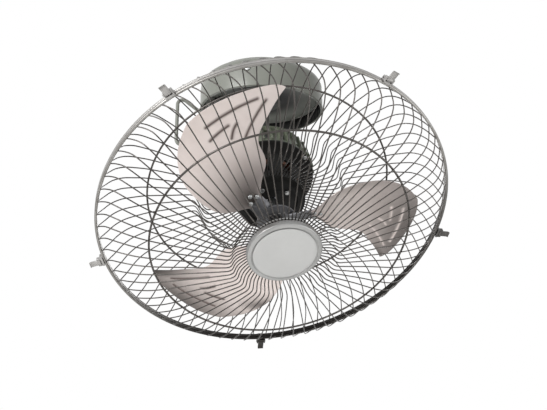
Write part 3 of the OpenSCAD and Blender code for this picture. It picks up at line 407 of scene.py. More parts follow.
# Moulded urea of the terminal block: glossy cream.
UREA = Finish("moulded_urea_cream", "DAD4BE", "CFC8B0", 0.0, 0.25, 0.05, Relief.MOULD, 2.0, 0.01, 20.0, 0.3)
# Turned brass of the slip rings: bright tracks where the brushes run.
TURNED_BRASS = Finish("turned_brass", "C8A45A", "B48E46", 1.0, 0.24, 0.08, Relief.SPUN, 0.35, 0.01, 25.0)
# Paper laminate of the slip ring disc: brown and slightly fibrous.
PAPER_LAMINATE = Finish(
    "phenolic_paper_laminate", "5A4030", "4A3325", 0.0, 0.4, 0.06, Relief.MOULD, 1.0, 0.03, 18.0
)


# ---------------------------------------------------------------- mesh tools


def lathe(
    outline: Sequence[Point], steps: int, closed: bool = True, sweep: float = 360.0
) -> bmesh.types.BMesh:
    """Spins an outline about Z.

    Args:
        outline: (radius, height) points.
        steps: facets round a full turn.
        closed: whether the last point joins the first.
        sweep: angle in degrees; less than 360 leaves two flat ends.

    Returns:
        A closed mesh.
    """
    bm = bmesh.new()
    verts = [bm.verts.new((r, 0.0, z)) for r, z in outline]
    edges = [bm.edges.new(pair) for pair in zip(verts, verts[1:])]
    if closed:
        edges.append(bm.edges.new((verts[-1], verts[0])))
    full = sweep >= 360.0
    geom: list[Any] = [*verts, *edges]
    if not full:
        geom.append(bmesh.ops.contextual_create(bm, geom=edges)["faces"][0])
    bmesh.ops.spin(
        bm, geom=geom, cent=(0, 0, 0), axis=(0, 0, 1), angle=math.radians(sweep), steps=steps, use_merge=full
    )
    bmesh.ops.remove_doubles(bm, verts=bm.verts, dist=1e-4)
    if not full:
        ends = [e for e in bm.edges if e.is_boundary]
        bmesh.ops.holes_fill(bm, edges=ends, sides=0)
    bmesh.ops.recalc_face_normals(bm, faces=bm.faces)
    return bm


def tube(inner: float, outer: float, low: float, high: float, steps: int) -> bmesh.types.BMesh:
    """A ring with a square section, from its radii, heights and facets."""
    return lathe([(inner, low), (outer, low), (outer, high), (inner, high)], steps)


def circle_outline(radius: float, across: float, height: float, points: int) -> list[Point]:
    """Outline of a round bar.

    Args:
        radius: distance of the bar's centre from the axis.
        across: the bar's diameter.
        height: the centre's height.
        points: corners of the outline.

    Returns:
        The outline's points.
    """
    angles = [2 * math.pi * k / points for k in range(points)]
    return [(radius + across / 2 * math.cos(a), height + across / 2 * math.sin(a)) for a in angles]


def arc(cx: float, cy: float, radius: float, start: float, end: float, steps: int) -> list[Point]:
    """Points of an arc, with its angles in degrees."""
    angles = [math.radians(start + (end - start) * k / steps) for k in range(steps + 1)]
    return [(cx + radius * math.cos(a), cy + radius * math.sin(a)) for a in angles]


def ease(
    bm: bmesh.types.BMesh, width: float, sharper_than: float = 32.0, segments: int = 2
) -> bmesh.types.BMesh:
    """Rounds every edge that is sharper than an angle.

    Args:
        bm: the mesh, changed in place.
        width: width of the rounding.
        sharper_than: least angle between two faces, in degrees.
        segments: facets across the rounding.

    Returns:
        The same mesh.
    """
    limit = math.radians(sharper_than)
    edges = [e for e in bm.edges if len(e.link_faces) == 2 and e.calc_face_angle(0.0) > limit]
    bmesh.ops.bevel(
        bm, geom=edges, offset=width, offset_type="OFFSET", affect="EDGES", segments=segments, profile=0.5,
        material=-1, clamp_overlap=True,
    )
    return bm


def block(size: Sequence[float], centre: Sequence[float], width: float) -> bmesh.types.BMesh:
    """A box with eased edges.

    Args:
        size: lengths along X, Y and Z.
        centre: where its middle lies.
        width: width of the easing.

    Returns:
        The mesh.
    """
    bm = bmesh.new()
    bmesh.ops.create_cube(bm, size=1.0)
    bmesh.ops.scale(bm, vec=Vector(size), verts=bm.verts)
    bmesh.ops.translate(bm, vec=Vector(centre), verts=bm.verts)
    return ease(bm, width)


def path_frames(path: Sequence[Vector]) -> list[Matrix]:
    """Frames along a path that turn with it and don't twist.

    Args:
        path: the points of the path.

    Returns:
        One matrix per point, whose Z runs along the path.
    """
    last = len(path) - 1
    ways = [(path[min(i + 1, last)] - path[max(i - 1, 0)]).normalized() for i in range(last + 1)]
    turn = ways[0].to_track_quat("Z", "Y")
    frames = []
    for i, way in enumerate(ways):
        if i:
            turn = ways[i - 1].rotation_difference(way) @ turn
        frames.append(Matrix.Translation(path[i]) @ turn.to_matrix().to_4x4())
    return frames


def sweep(path: Sequence[Vector], radius: float, sides: int) -> bmesh.types.BMesh:
    """A round bar along a path, with closed ends.

    Args:
        path: the points of the centre line.
        radius: the bar's radius.
        sides: facets round the bar.

    Returns:
        The mesh.
    """
    bm = bmesh.new()
    bmesh.ops.create_circle(bm, radius=radius, segments=sides)
    frames = path_frames(path)
    bmesh.ops.transform(bm, matrix=frames[0], verts=bm.verts)
    ring = list(bm.edges)
    for before, after in zip(frames, frames[1:]):
        made = bmesh.ops.extrude_edge_only(bm, edges=ring)["geom"]
        verts = {v for v in made if isinstance(v, bmesh.types.BMVert)}
        ring = [e for e in made if isinstance(e, bmesh.types.BMEdge) and set(e.verts) <= verts]
        bmesh.ops.transform(bm, matrix=after @ before.inverted(), verts=list(verts))
    bmesh.ops.holes_fill(bm, edges=[e for e in bm.edges if e.is_boundary], sides=0)
    bmesh.ops.recalc_face_normals(bm, faces=bm.faces)
    return bm


def on_curve(points: Sequence[Sequence[float]], i: int, u: float) -> Vector:
    """A point of the smooth curve through a few points.

    Args:
        points: the points that it passes.
        i: number of the point before the wanted one.
        u: share of the way from there to the next.

    Returns:
        The point.
    """
    last = len(points) - 1
    p0, p1, p2, p3 = (Vector(points[min(max(i + k, 0), last)]) for k in (-1, 0, 1, 2))
    return p1 + u * (p2 - p0 + u * (2 * p0 - 5 * p1 + 4 * p2 - p3 + u * (3 * p1 - p0 - 3 * p2 + p3))) / 2


def smoothed(stations: Sequence[Station], per_span: int) -> list[Station]:
    """Runs a smooth curve through a few stations.

    Args:
        stations: the points that it passes.
        per_span: points added for each span.

    Returns:
        The denser list.
    """
    spans = range(len(stations) - 1)
    dense = [tuple(on_curve(stations, i, k / per_span)) for i in spans for k in range(per_span)]
    return [*dense, tuple(stations[-1])]


def as_mesh(bm: bmesh.types.BMesh, name: str) -> bpy.types.Mesh:
    """Writes a mesh into the file.

    Args:
        bm: the mesh, freed here.
        name: the name that it gets.

    Returns:
        The mesh's data.
    """
    mesh = bpy.data.meshes.new(name)
    bm.to_mesh(mesh)
    bm.free()
    return mesh


def shown(name: str, data: Any) -> bpy.types.Object:
    """Puts an object into the scene.

    Args:
        name: the object's name.
        data: its mesh, lamp or camera.

    Returns:
        The object.
    """
    made = bpy.data.objects.new(name, data)
    bpy.context.scene.collection.objects.link(made)
    return made


def copies(bm: bmesh.types.BMesh, places: Iterable[Matrix]) -> bmesh.types.BMesh:
    """Repeats a mesh at several places.

    Args:
        bm: the mesh to repeat, freed here.
        places: where each copy goes.

    Returns:
        One mesh with all the copies.
    """
    pattern = as_mesh(bm, "pattern")
    result = bmesh.new()
    for place in places:
        start = len(result.verts)
        result.from_mesh(pattern)
        result.verts.ensure_lookup_table()
        bmesh.ops.transform(result, matrix=place, verts=result.verts[start:])
    bpy.data.meshes.remove(pattern)
    return result


def joined(*parts: bmesh.types.BMesh) -> bmesh.types.BMesh:
    """Puts several meshes into one.

    Args:
        parts: the meshes, freed here.

    Returns:
        One mesh.
    """
    result = bmesh.new()
    for part in parts:
        mesh = as_mesh(part, "part")
        result.from_mesh(mesh)
        bpy.data.meshes.remove(mesh)
    return result


def about_z(degrees: float) -> Matrix:
    """A turn about Z."""
    return Matrix.Rotation(math.radians(degrees), 4, "Z")


def turns(count: int, start: float = 0.0) -> list[Matrix]:
    """Equal turns about Z, from a first one in degrees."""
    return [about_z(start + k * 360 / count) for k in range(count)]


def moved(bm: bmesh.types.BMesh, place: Matrix) -> bmesh.types.BMesh:
    """Moves a mesh and returns it."""
    bmesh.ops.transform(bm, matrix=place, verts=bm.verts)
    return bm


def screw(head_r: float, head_h: float, shank_r: float, shank_l: float) -> bmesh.types.BMesh:
    """A pan-head screw, standing on Z = 0.

    Its cross recess is there, but the head's own top still covers it, so the head looks plain.

    Args:
        head_r: radius of the head.
        head_h: height of the head.
        shank_r: radius of the shank.
        shank_l: length of the shank.

    Returns:
        The mesh.
    """
    corner_r, corner_z = head_h * 0.6, head_h * 0.4
    flat_r, slot_r, slot_depth = head_r * 0.52, head_r * 0.5, head_h * 0.5
    crown = arc(head_r - corner_r, corner_z, corner_r, 0, 80, 4)
    shank = [(0, -shank_l), (shank_r, -shank_l), (shank_r, 0)]
    head = [(head_r, 0), *crown, (flat_r, head_h), (0, head_h)]
    bm = lathe([*shank, *head], 24, closed=False)
    wedges = [f for f in bm.faces if f.normal.z > 0.9 and f.calc_center_median().xy.length < slot_r]
    cross = [f for f in wedges if abs(math.sin(2 * math.atan2(*f.calc_center_median().yx))) < 0.3]
    if cross:
        made = bmesh.ops.extrude_face_region(bm, geom=cross)["geom"]
        floor = [v for v in made if isinstance(v, bmesh.types.BMVert)]
        bmesh.ops.translate(bm, vec=(0, 0, -slot_depth), verts=floor)
    return bm


def settle(
    bm: bmesh.types.BMesh,
    name: str,
    finish: Finish,
    body: str,
    stands_for: Sequence[str] = (),
    place: Matrix = HEAD,
    crease: float = 38.0,
) -> None:
    """Makes a mesh a piece of the object.

    Args:
        bm: the mesh in millimetres, freed here.
        name: the piece's name.
        finish: its surface.
        body: the body that it rides on.
        stands_for: nodes that it replaces.
        place: the working frame that the mesh is in.
        crease: edges sharper than this stay crisp, in degrees.
    """
    moved(bm, place @ Matrix.Scale(MM, 4))
    mesh = as_mesh(bm, name)
    mesh.polygons.foreach_set("use_smooth", [True] * len(mesh.polygons))
    mesh.set_sharp_from_angle(angle=math.radians(crease))
    mesh.materials.append(dressed(finish))
    made = shown(name, mesh)
    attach(made, body)
    if stands_for:
        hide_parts(*stands_for)
    LOG.info("%s: %d faces, rides on %s", name, len(mesh.polygons), body)


def eased(
    node: str, name: str, finish: Finish, body: str, width: float, place: Matrix = HEAD
) -> None:
    """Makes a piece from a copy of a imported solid, merged and with its edges eased.

    Args:
        node: the solid's node, which the piece replaces.
        name: the piece's name.
        finish: its surface.
        body: the body that it rides on.
        width: width of the easing in millimetres.
        place: the working frame that it is made in.
    """
    bm = bmesh.new()
    bm.from_mesh(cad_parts[node].data)
    moved(bm, (place @ Matrix.Scale(MM, 4)).inverted())
    bmesh.ops.remove_doubles(bm, verts=bm.verts, dist=SAME_POINT)
    bmesh.ops.dissolve_degenerate(bm, dist=SAME_POINT, edges=bm.edges)
    bmesh.ops.dissolve_limit(bm, angle_limit=SAME_PLANE, verts=bm.verts, edges=bm.edges)
    settle(ease(bm, width, 40.0), name, finish, body, [node], place)


def dress(finish: Finish, *nodes: str) -> None:
    """Gives nodes of the frame their finish.

    Args:
        finish: the surface.
        nodes: the nodes' names.
    """
    for name in nodes:
        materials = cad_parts[name].data.materials
        materials.clear()
        materials.append(dressed(finish))
        LOG.info("%s: dressed in %s", name, finish.name)


# ---------------------------------------------------------------- sub-assemblies


@dataclass
class CeilingBase:
    """Ceiling plate, canopy drum and its ribbed liner, with the drive inside.

    Attributes:
        edge_r, mouth_r: rounding of the drum's upper edge and of its mouth.
        opening_r: radius of the upper opening that the plate closes.
        mouth_lip: how far the mouth turns in.
        liner_foot, liner_top: the liner's two ends, above the mouth.
        rib_inset: from the liner's outside to the middle of a rib.
        rib_gap: how far a rib stays short of either end of the liner.
    """

    plate_t: float = 3.0
    drum_r: float = 104.0
    wall: float = 1.4
    mouth_z: float = -58.0
    edge_r: float = 20.0
    opening_r: float = 86.6
    mouth_lip: float = 4.2
    mouth_r: float = 1.6
    liner_foot: float = 1.5
    liner_top: float = 22.5
    liner_gap: float = 0.1
    liner_t: float = 1.6
    liner_ribs: int = 48
    rib_depth: float = 1.9
    rib_width: float = 2.0
    rib_inset: float = 2.0
    rib_gap: float = 0.3
    screw_z: float = -28.0
    screw_angles: tuple[float, ...] = (-117.0, 3.0, 123.0)
    screw_size: ScrewSize = (4.2, 2.4, 2.0, 7.0)

    def plate(self) -> None:
        """The plate against the ceiling, with its holes and cable entry."""
        eased("ceiling_plate", "ceiling_disc", CANOPY_PAINT, "ceiling_mount", 0.3, CEILING)

    def drum(self) -> None:
        """The drum: a drawn cup with a soft upper edge and an inturned mouth."""
        inner = self.drum_r - self.wall
        top = -self.plate_t
        bend = self.edge_r - self.wall
        cx, cz = self.drum_r - self.edge_r, top - self.edge_r
        outside, inside = (math.degrees(math.acos((self.opening_r - cx) / r)) for r in (self.edge_r, bend))
        outline = [
            (self.drum_r - self.mouth_lip, self.mouth_z),
            *arc(self.drum_r - self.mouth_r, self.mouth_z + self.mouth_r, self.mouth_r, -90, 0, 5),
            *arc(cx, cz, self.edge_r, 0, outside, 20),
            *arc(cx, cz, bend, inside, 0, 18),
            (inner, self.mouth_z + self.wall),
            (self.drum_r - self.mouth_lip, self.mouth_z + self.wall),
        ]
        settle(
            ease(lathe(outline, 192), 0.35, 50), "canopy_drum", CANOPY_PAINT, "ceiling_mount",
            ["canopy_shell"], CEILING,
        )

    def liner(self) -> None:
        """The dark ribbed liner inside the mouth."""
        low, high = self.mouth_z + self.liner_foot, self.mouth_z + self.liner_top
        outer = self.drum_r - self.wall - self.liner_gap
        wall = ease(tube(outer - self.liner_t, outer, low, high, 144), 0.3, 50)
        size = (self.rib_depth, self.rib_width, high - low - 2 * self.rib_gap)
        rib = block(size, (outer - self.rib_inset, 0, (low + high) / 2), 0.45)
        settle(
            joined(wall, copies(rib, turns(self.liner_ribs))), "mouth_liner", BLACK_POLYMER,
            "ceiling_mount", ["skirt_liner"], CEILING,
        )

    def screws(self) -> None:
        """The radial screws that hold the drum."""
        tip = Matrix.Translation((self.drum_r, 0, self.screw_z)) @ ALONG_X
        settle(
            copies(screw(*self.screw_size), [about_z(a) @ tip for a in self.screw_angles]), "drum_screws",
            ZINC_STEEL, "ceiling_mount", ["canopy_screws"], CEILING,
        )

    def build(self) -> None:
        """Builds the shell and dresses what it hides."""
        self.plate()
        self.drum()
        self.liner()
        self.screws()
        dress(ZINC_STEEL, "spacer_posts", "gear_plate", "gear_plate_screws", "bearing_housing", "orbit_motor")
        dress(BEARING_STEEL, "bearing_outer_race", "bearing_balls")
        dress(UREA, "terminal_block")
        dress(BLACK_POLYMER, "brush_holder")
        dress(NYLON, "drive_pinion")


@dataclass
class Turntable:
    """What the orbit gear carries round: disc, spindle, neck and stay rod.

    Attributes:
        rim: height of the disc's rolled rim.
        edge_r, roll_r, fillet_r: rounding of the rim's top, of its lower edge and of the corner inside it.
        roll_inset: from the disc's edge to the middle of that corner's rounding.
        bend, rod_y: radius of the rod's bends, and the plane that it lies in.
        rod_runs: length of each straight run, and the turn in degrees that follows it.
        rod_reach, rod_end: how far out the rod goes, and where it ends on the tilt axis.
    """

    disc_r: float = 98.0
    disc_top: float = -34.0
    disc_t: float = 2.0
    rim: float = 5.0
    edge_r: float = 2.0
    roll_r: float = 1.7
    roll_inset: float = 4.6
    fillet_r: float = 1.2
    bore: float = 11.05
    flange_screw_r: float = 21.0
    flange_screw_z: float = -44.0
    flange_screw_size: ScrewSize = (4.5, 3.0, 2.5, 12.0)
    rod_r: float = 3.0
    bend: float = 9.0
    rod_y: float = 14.0
    rod_start: Point = (-60.0, -39.1)
    rod_runs: tuple[tuple[float, float], ...] = ((15.0, 60.0), (19.0, -95.0), (0.0, 125.0), (0.0, 90.0))
    rod_reach: float = 141.0
    rod_end: float = -76.0
    collar_r: float = 5.0
    collar_half: float = 1.15
    collar_x: tuple[float, ...] = (-84.35, -78.65)
    pivot_z: float = -126.0

    def disc(self) -> None:
        """The disc with its rolled rim."""
        low = self.disc_top - self.disc_t
        outline = [
            (self.bore, low),
            (self.bore, self.disc_top),
            *arc(self.disc_r - self.edge_r, self.disc_top - self.edge_r, self.edge_r, 90, 0, 6),
            *arc(self.disc_r - self.roll_r, self.disc_top - self.rim + self.roll_r, self.roll_r, 0, -180, 12),
            *arc(self.disc_r - self.roll_inset, low - self.fillet_r, self.fillet_r, 0, 90, 4),
        ]
        settle(
            lathe(outline, 192), "rolled_disc", TURNTABLE_PAINT, "turntable",
            ["turntable_disc"], CEILING,
        )

    def rod_line(self) -> list[Vector]:
        """The stay rod's centre line: straight runs and round bends in one plane.

        Two runs are worked out: the one out to the rod's reach and the one down to the tilt axis.

        Returns:
            Points from the turntable to the tilt axis.
        """
        outward, down, steps = 2, 3, 8
        here = Vector(self.rod_start)
        heading = math.radians(180)
        line = [here.copy()]
        for index, (run, turn) in enumerate(self.rod_runs):
            swing = math.radians(turn)
            way = Vector((math.cos(heading), math.sin(heading)))
            if index == outward:
                run = (-self.rod_reach - here.x + self.bend * (1 + math.sin(heading))) / math.cos(heading)
            if index == down:
                run = here.y - self.pivot_z - self.bend
            here = here + way * run
            line.append(here.copy())
            side = math.copysign(self.bend, turn)
            centre = here + side * Vector((-math.sin(heading), math.cos(heading)))
            for step in range(1, steps + 1):
                now = heading + swing * step / steps
                line.append(centre - side * Vector((-math.sin(now), math.cos(now))))
            heading += swing
            here = line[-1]
        line.append(Vector((self.rod_end, self.pivot_z)))
        return [Vector((p.x, self.rod_y, p.y)) for p in line]

    def rod(self) -> None:
        """The bent stay rod with the two collars at its far end."""
        bar = ease(sweep(self.rod_line(), self.rod_r, 20), 0.5, 50)
        collar = ease(tube(self.rod_r, self.collar_r, -self.collar_half, self.collar_half, 32), 0.3, 50)
        on_rod = Matrix.Translation((0, self.rod_y, self.pivot_z)) @ ALONG_X
        pair = [Matrix.Translation((x, 0, 0)) @ on_rod for x in self.collar_x]
        settle(
            joined(bar, copies(collar, pair)), "bent_stay_rod", CANOPY_PAINT, "turntable",
            ["stay_rod"], CEILING,
        )

    def build(self) -> None:
        """Builds the moving base and dresses what is hidden above it."""
        self.disc()
        self.rod()
        eased("neck_casting", "cast_neck", CASTING_PAINT, "turntable", 0.9, CEILING)
        eased("stay_clamp", "rod_clamp", CASTING_PAINT, "turntable", 0.4, CEILING)
        eased("tilt_bolt", "hex_tilt_bolt", ZINC_STEEL, "turntable", 0.5, CEILING)
        eased("clamp_knob", "lobed_knob", BLACK_POLYMER, "knob", 1.3, CEILING)
        spot = Matrix.Translation((self.flange_screw_r, 0, self.flange_screw_z)) @ UPSIDE_DOWN
        places = [turn @ spot for turn in turns(4, 45)]
        settle(
            copies(screw(*self.flange_screw_size), places), "neck_flange_screws", ZINC_STEEL, "turntable",
            ["neck_screws"], CEILING,
        )
        dress(ZINC_STEEL, "spindle", "spindle_nut")
        dress(BEARING_STEEL, "bearing_inner_race")
        dress(NYLON, "orbit_gear")
        dress(PAPER_LAMINATE, "slip_ring_disc")
        dress(TURNED_BRASS, "slip_rings")


@dataclass
class FanMotor:
    """The motor behind the rear guard, hung from the tilt knuckle.

    Attributes:
        step, ledge: how far the dome's side and the flange's top lie inside the radius.
        lap, lip: how far the flange reaches in under the dome, and out past the radius.
        dish_r, dish, dish_slope: radius, depth and sloping width of the shallow dish in the dome's top.
        seat_r, seat_wall: bore and wall of the bearing seat.
        seat_depth: how far the seat reaches down from the dome's top.
        bundles, bundle_angle: number of copper bundles, and the degrees that each takes up.
        strand, strand_lift, strand_arc: width of a strand, its height as a share of that, and its points.
        front_end, rear_end: outlines of a bundle before and behind the core.
        stay_x, stay_z: places of the stay bracket's screws.
    """

    back_z: float = 152.0
    flange_z: float = 138.0
    flange_t: float = 3.0
    radius: float = 75.0
    wall: float = 2.5
    step: float = 2.5
    lap: float = 5.0
    lip: float = 1.0
    ledge: float = 1.5
    dome_r: float = 11.0
    dish_r: float = 30.0
    dish: float = 0.8
    dish_slope: float = 1.4
    seat_r: float = 16.05
    seat_wall: float = 4.0
    seat_depth: float = 12.0
    bundles: int = 12
    bundle_angle: float = 26.0
    strand: float = 1.7
    strand_lift: float = 0.32
    strand_arc: tuple[Point, ...] = ((0.0, 0.0), (0.28, 0.8), (0.5, 1.0), (0.72, 0.8))
    front_end: tuple[Point, ...] = (
        (41.5, 84.5), (46.8, 83), (48, 84.4), (50.6, 93.9), (56.8, 99.4), (56.8, 107), (41.5, 107),
    )
    rear_end: tuple[Point, ...] = (
        (44.6, 131), (59.4, 131), (59.4, 138.6), (56.6, 141.4), (47.2, 141.4), (44.6, 138.6),
    )
    knuckle_screw: ScrewSize = (3.6, 2.6, 2.0, 7.5)
    knuckle_spot: tuple[float, ...] = (23.0, 0.0, 157.0)
    stay_screw: ScrewSize = (4.0, 2.4, 2.0, 8.0)
    stay_x: float = -83.0
    stay_z: tuple[float, ...] = (109.0, 129.0)
    through_bolt: ScrewSize = (3.2, 2.4, 1.8, 43.2)
    through_spot: tuple[float, ...] = (72.5, 0.0, 97.0)
    plate_screw: ScrewSize = (4.0, 2.4, 2.0, 6.0)
    plate_spot: tuple[float, ...] = (28.0, 0.0, 43.0)

    def rear_cover(self) -> None:
        """The spun rear dome with its flange and bearing seat."""
        top, edge = self.back_z, self.flange_z + self.flange_t
        cx, cz = self.radius - self.step - self.dome_r, top - self.dome_r
        under, seat_top = top - self.wall, top - self.seat_depth
        outline = [
            (self.radius - self.lap, self.flange_z),
            (self.radius + self.lip, self.flange_z),
            (self.radius + self.lip, edge),
            (self.radius - self.ledge, edge),
            *arc(cx, cz, self.dome_r, 0, 90, 14),
            (self.dish_r, top),
            (self.dish_r - self.dish_slope, top - self.dish),
            (0, top - self.dish),
            (0, under),
            (self.seat_r, under),
            (self.seat_r, seat_top),
            (self.seat_r + self.seat_wall, seat_top),
            (self.seat_r + self.seat_wall, under),
            *arc(cx, cz, self.dome_r - self.wall, 90, 0, 12),
        ]
        settle(
            ease(lathe(outline, 160), 0.4, 40), "motor_dome", DOME_PAINT, "head",
            ["motor_rear_cover"],
        )

    def scalloped(self, corners: Sequence[Point]) -> list[Point]:
        """Turns an outline into a row of round strands, each a bulge of four points.

        Args:
            corners: the outline's corners.

        Returns:
            The scalloped outline.
        """
        points: list[Point] = []
        for (r0, z0), (r1, z1) in zip(corners, [*corners[1:], corners[0]]):
            length = math.hypot(r1 - r0, z1 - z0)
            count = max(1, round(length / self.strand))
            out = Vector((z1 - z0, r0 - r1)).normalized() * self.strand * self.strand_lift
            for k in range(count):
                for part, lift in self.strand_arc:
                    u = (k + part) / count
                    points.append((r0 + (r1 - r0) * u + out.x * lift, z0 + (z1 - z0) * u + out.y * lift))
        return points

    def windings(self) -> None:
        """The copper bundles at both ends of the stator, built up of strands."""
        places = turns(self.bundles)
        outlines = [self.scalloped(end) for end in (self.front_end, self.rear_end)]
        parts = [copies(lathe(line, 8, sweep=self.bundle_angle), places) for line in outlines]
        settle(
            joined(*parts), "wound_bundles", COPPER_WIRE, "head", ["stator_windings"], crease=60.0
        )

    def screws(self) -> None:
        """Screws of the knuckle, the stay bracket, the covers and the guard plate."""
        quarter = turns(4, 45)
        up = [q @ Matrix.Translation(self.knuckle_spot) for q in quarter]
        side = Matrix.Rotation(math.radians(-90), 4, "Y")
        stay = [Matrix.Translation((self.stay_x, 0, z)) @ side for z in self.stay_z]
        settle(
            joined(copies(screw(*self.knuckle_screw), up), copies(screw(*self.stay_screw), stay)),
            "knuckle_screws", ZINC_STEEL, "head", ["bracket_screws"],
        )
        long = [q @ Matrix.Translation(self.through_spot) @ UPSIDE_DOWN for q in quarter]
        settle(
            copies(screw(*self.through_bolt), long), "cover_screws", ZINC_STEEL, "head",
            ["through_bolts"],
        )
        plate = [q @ Matrix.Translation(self.plate_spot) @ UPSIDE_DOWN for q in quarter]
        settle(
            copies(screw(*self.plate_screw), plate), "plate_screws", ZINC_STEEL, "head",
            ["guard_screws"],
        )

    def build(self) -> None:
        """Builds the motor's shells, windings and screws."""
        self.rear_cover()
        self.windings()
        self.screws()
        eased("motor_body", "finned_ring", DOME_PAINT, "head", 0.5)
        eased("motor_front_cover", "windowed_cone", MOTOR_ENAMEL, "head", 0.5)
        eased("tilt_knuckle", "cast_knuckle", CASTING_PAINT, "head", 0.8)
        eased("stay_bracket", "stay_strap", CASTING_PAINT, "head", 0.5)
        eased("guard_plate", "guard_seat", MOTOR_ENAMEL, "head", 0.3)
        dress(STAMPED_STEEL, "stator_core")
        dress(BEARING_STEEL, "motor_bearings")


class Side(Enum):
    """The two halves of the guard: the sign of Z in the head's frame."""

    FRONT = -1
    REAR = 1


@dataclass
class WireGuard:
    """One half of the guard: its wires, their two inner hoops and its rim hoop.

    Attributes:
        side: which half.
        stations: a wire from the centre out, as radius, depth from the rim's plane and swirl in degrees.
        rings: radius, depth and thickness of each hoop, the rim's last.
        wires: number of wires.
        wire: diameter of a wire.
        phase: clock angle of the first wire in degrees.
    """

    side: Side
    stations: Sequence[Station]
    rings: Sequence[Station]
    wires: int = 72
    wire: float = 1.8
    phase: float = 0.0

    def name(self) -> str:
        """The half's name."""
        return self.side.name.lower()

    def build(self) -> None:
        """Sweeps one wire, repeats it round the axis and adds the rings."""
        path = []
        for radius, depth, swirl in smoothed(self.stations, 3):
            turn = math.radians(-self.phase - swirl)
            path.append(Vector((radius * math.cos(turn), radius * math.sin(turn), self.side.value * depth)))
        settle(
            copies(sweep(path, self.wire / 2, 6), turns(self.wires)), f"{self.name()}_wire_cage",
            PLATED_WIRE, "head", [f"{self.name()}_guard_wires"], crease=80.0,
        )
        *inner, outer = [lathe(circle_outline(r, d, self.side.value * z, 14), 200) for r, z, d in self.rings]
        settle(
            joined(*inner), f"{self.name()}_hoops", PLATED_WIRE, "head",
            [f"{self.name()}_guard_rings"], crease=80.0,
        )
        settle(outer, f"{self.name()}_rim_hoop", PLATED_HOOP, "head", crease=80.0)


@dataclass
class Rim:
    """The band between the two rim hoops, and the clips that hold the halves together."""

    radius: float = 262.0
    half_width: float = 2.1
    half_height: float = 1.38
    clips: int = 5

    def build(self) -> None:
        """Builds the band and the clips."""
        r, w, h = self.radius, self.half_width, self.half_height
        band = ease(tube(r - w, r + w, -h, h, 240), 0.5, 50, 3)
        settle(band, "rolled_band", ROLLED_BAND, "head", ["rim_band"])
        eased("clip_bases", "clip_brackets", ROLLED_BAND, "head", 0.3)
        for k in range(1, self.clips + 1):
            eased(f"clip_lever_{k}", f"snap_lever_{k}", ROLLED_BAND, f"lever_{k}", 0.25)


@dataclass
class Badge:
    """The cup in the middle of the front guard and its bare plate.

    Attributes:
        back: depth of the guard's middle hoop, which the cup hooks over.
        bore_r, groove_r: inside and outside of the wall that the middle hoop lies round.
        hook_r: reach of the flange behind that hoop.
        skirt_r: inside of the rim.
        seat_r: radius of the flat that the plate lies on.
        roll_r, edge_r: rounding of the rim's front and of its back edge.
        bead_r, bead_x: size of the bead along the rim's inner edge, and how far from the axis it runs.
        crown: how far the plate bulges.
    """

    radius: float = 54.5
    back: float = 64.0
    bore_r: float = 45.0
    hook_r: float = 52.0
    groove_r: float = 47.7
    skirt_r: float = 52.5
    seat_r: float = 47.6
    roll_r: float = 2.2
    edge_r: float = 0.6
    bead_r: float = 0.9
    bead_x: float = 49.2
    plate_r: float = 46.0
    plate_t: float = 0.7
    crown: float = 0.45

    def cup(self) -> None:
        """The spun cup: a rolled rim round a shallow seat."""
        r, f = self.radius, self.back
        inside, face = -(f + 9), -(f + 11.6)
        hook, hook_end = -(f - 5), -(f - 2.3)
        groove, shoulder = -(f + 6.5), -(f + 2.8)
        outline = [
            (0, inside),
            (self.bore_r, inside),
            (self.bore_r, hook),
            (self.hook_r, hook),
            (self.hook_r, hook_end),
            (self.groove_r, hook_end),
            (self.groove_r, groove),
            (self.skirt_r, groove),
            (self.skirt_r, shoulder),
            *arc(r - self.edge_r, -(f + 3.4), self.edge_r, 90, 0, 3),
            *arc(r - self.roll_r, -(f + 9.8), self.roll_r, 0, -90, 8),
            *arc(self.bead_x, -(f + 12.0), self.bead_r, -90, -180, 3)[1:],
            (self.seat_r, face),
            (0, face),
        ]
        settle(
            ease(lathe(outline, 160), 0.25, 55), "badge_rim", SPUN_CUP, "head",
            ["badge_cup"],
        )

    def plate(self) -> None:
        """The plate, bare, with a soft crown and a fine edge."""
        r, level = self.plate_r, -(self.back + 11.7)
        parts = [k / 10 for k in range(11)]
        rise = [(r * (1 - p), level - 1.0 - self.crown * math.sin(math.pi / 2 * p)) for p in parts]
        outline = [(0, level), (r, level), (r, level - self.plate_t), *rise]
        settle(
            ease(lathe(outline, 160), 0.2, 50), "bare_plate", BADGE_SHEET, "head",
            ["badge_plate"],
        )

    def build(self) -> None:
        """Builds the cup and the plate."""
        self.cup()
        self.plate()


@dataclass(frozen=True)
class ShadePatch:
    """A soft patch of painted shade on a blade.

    Attributes:
        along: its middle, from 0 at the root to 1 at the tip.
        across: its middle, from 0 at the leading edge to 1 at the trailing edge.
        length: how far it spreads along the blade.
        width: how far it spreads across.
        depth: its strength in the middle.
    """

    along: float
    across: float
    length: float
    width: float
    depth: float

    def at(self, t: float, s: float) -> float:
        """The film's strength at a place of the blade."""
        away = ((t - self.along) / self.length) ** 2 + ((s - self.across) / self.width) ** 2
        return self.depth * math.exp(-away)


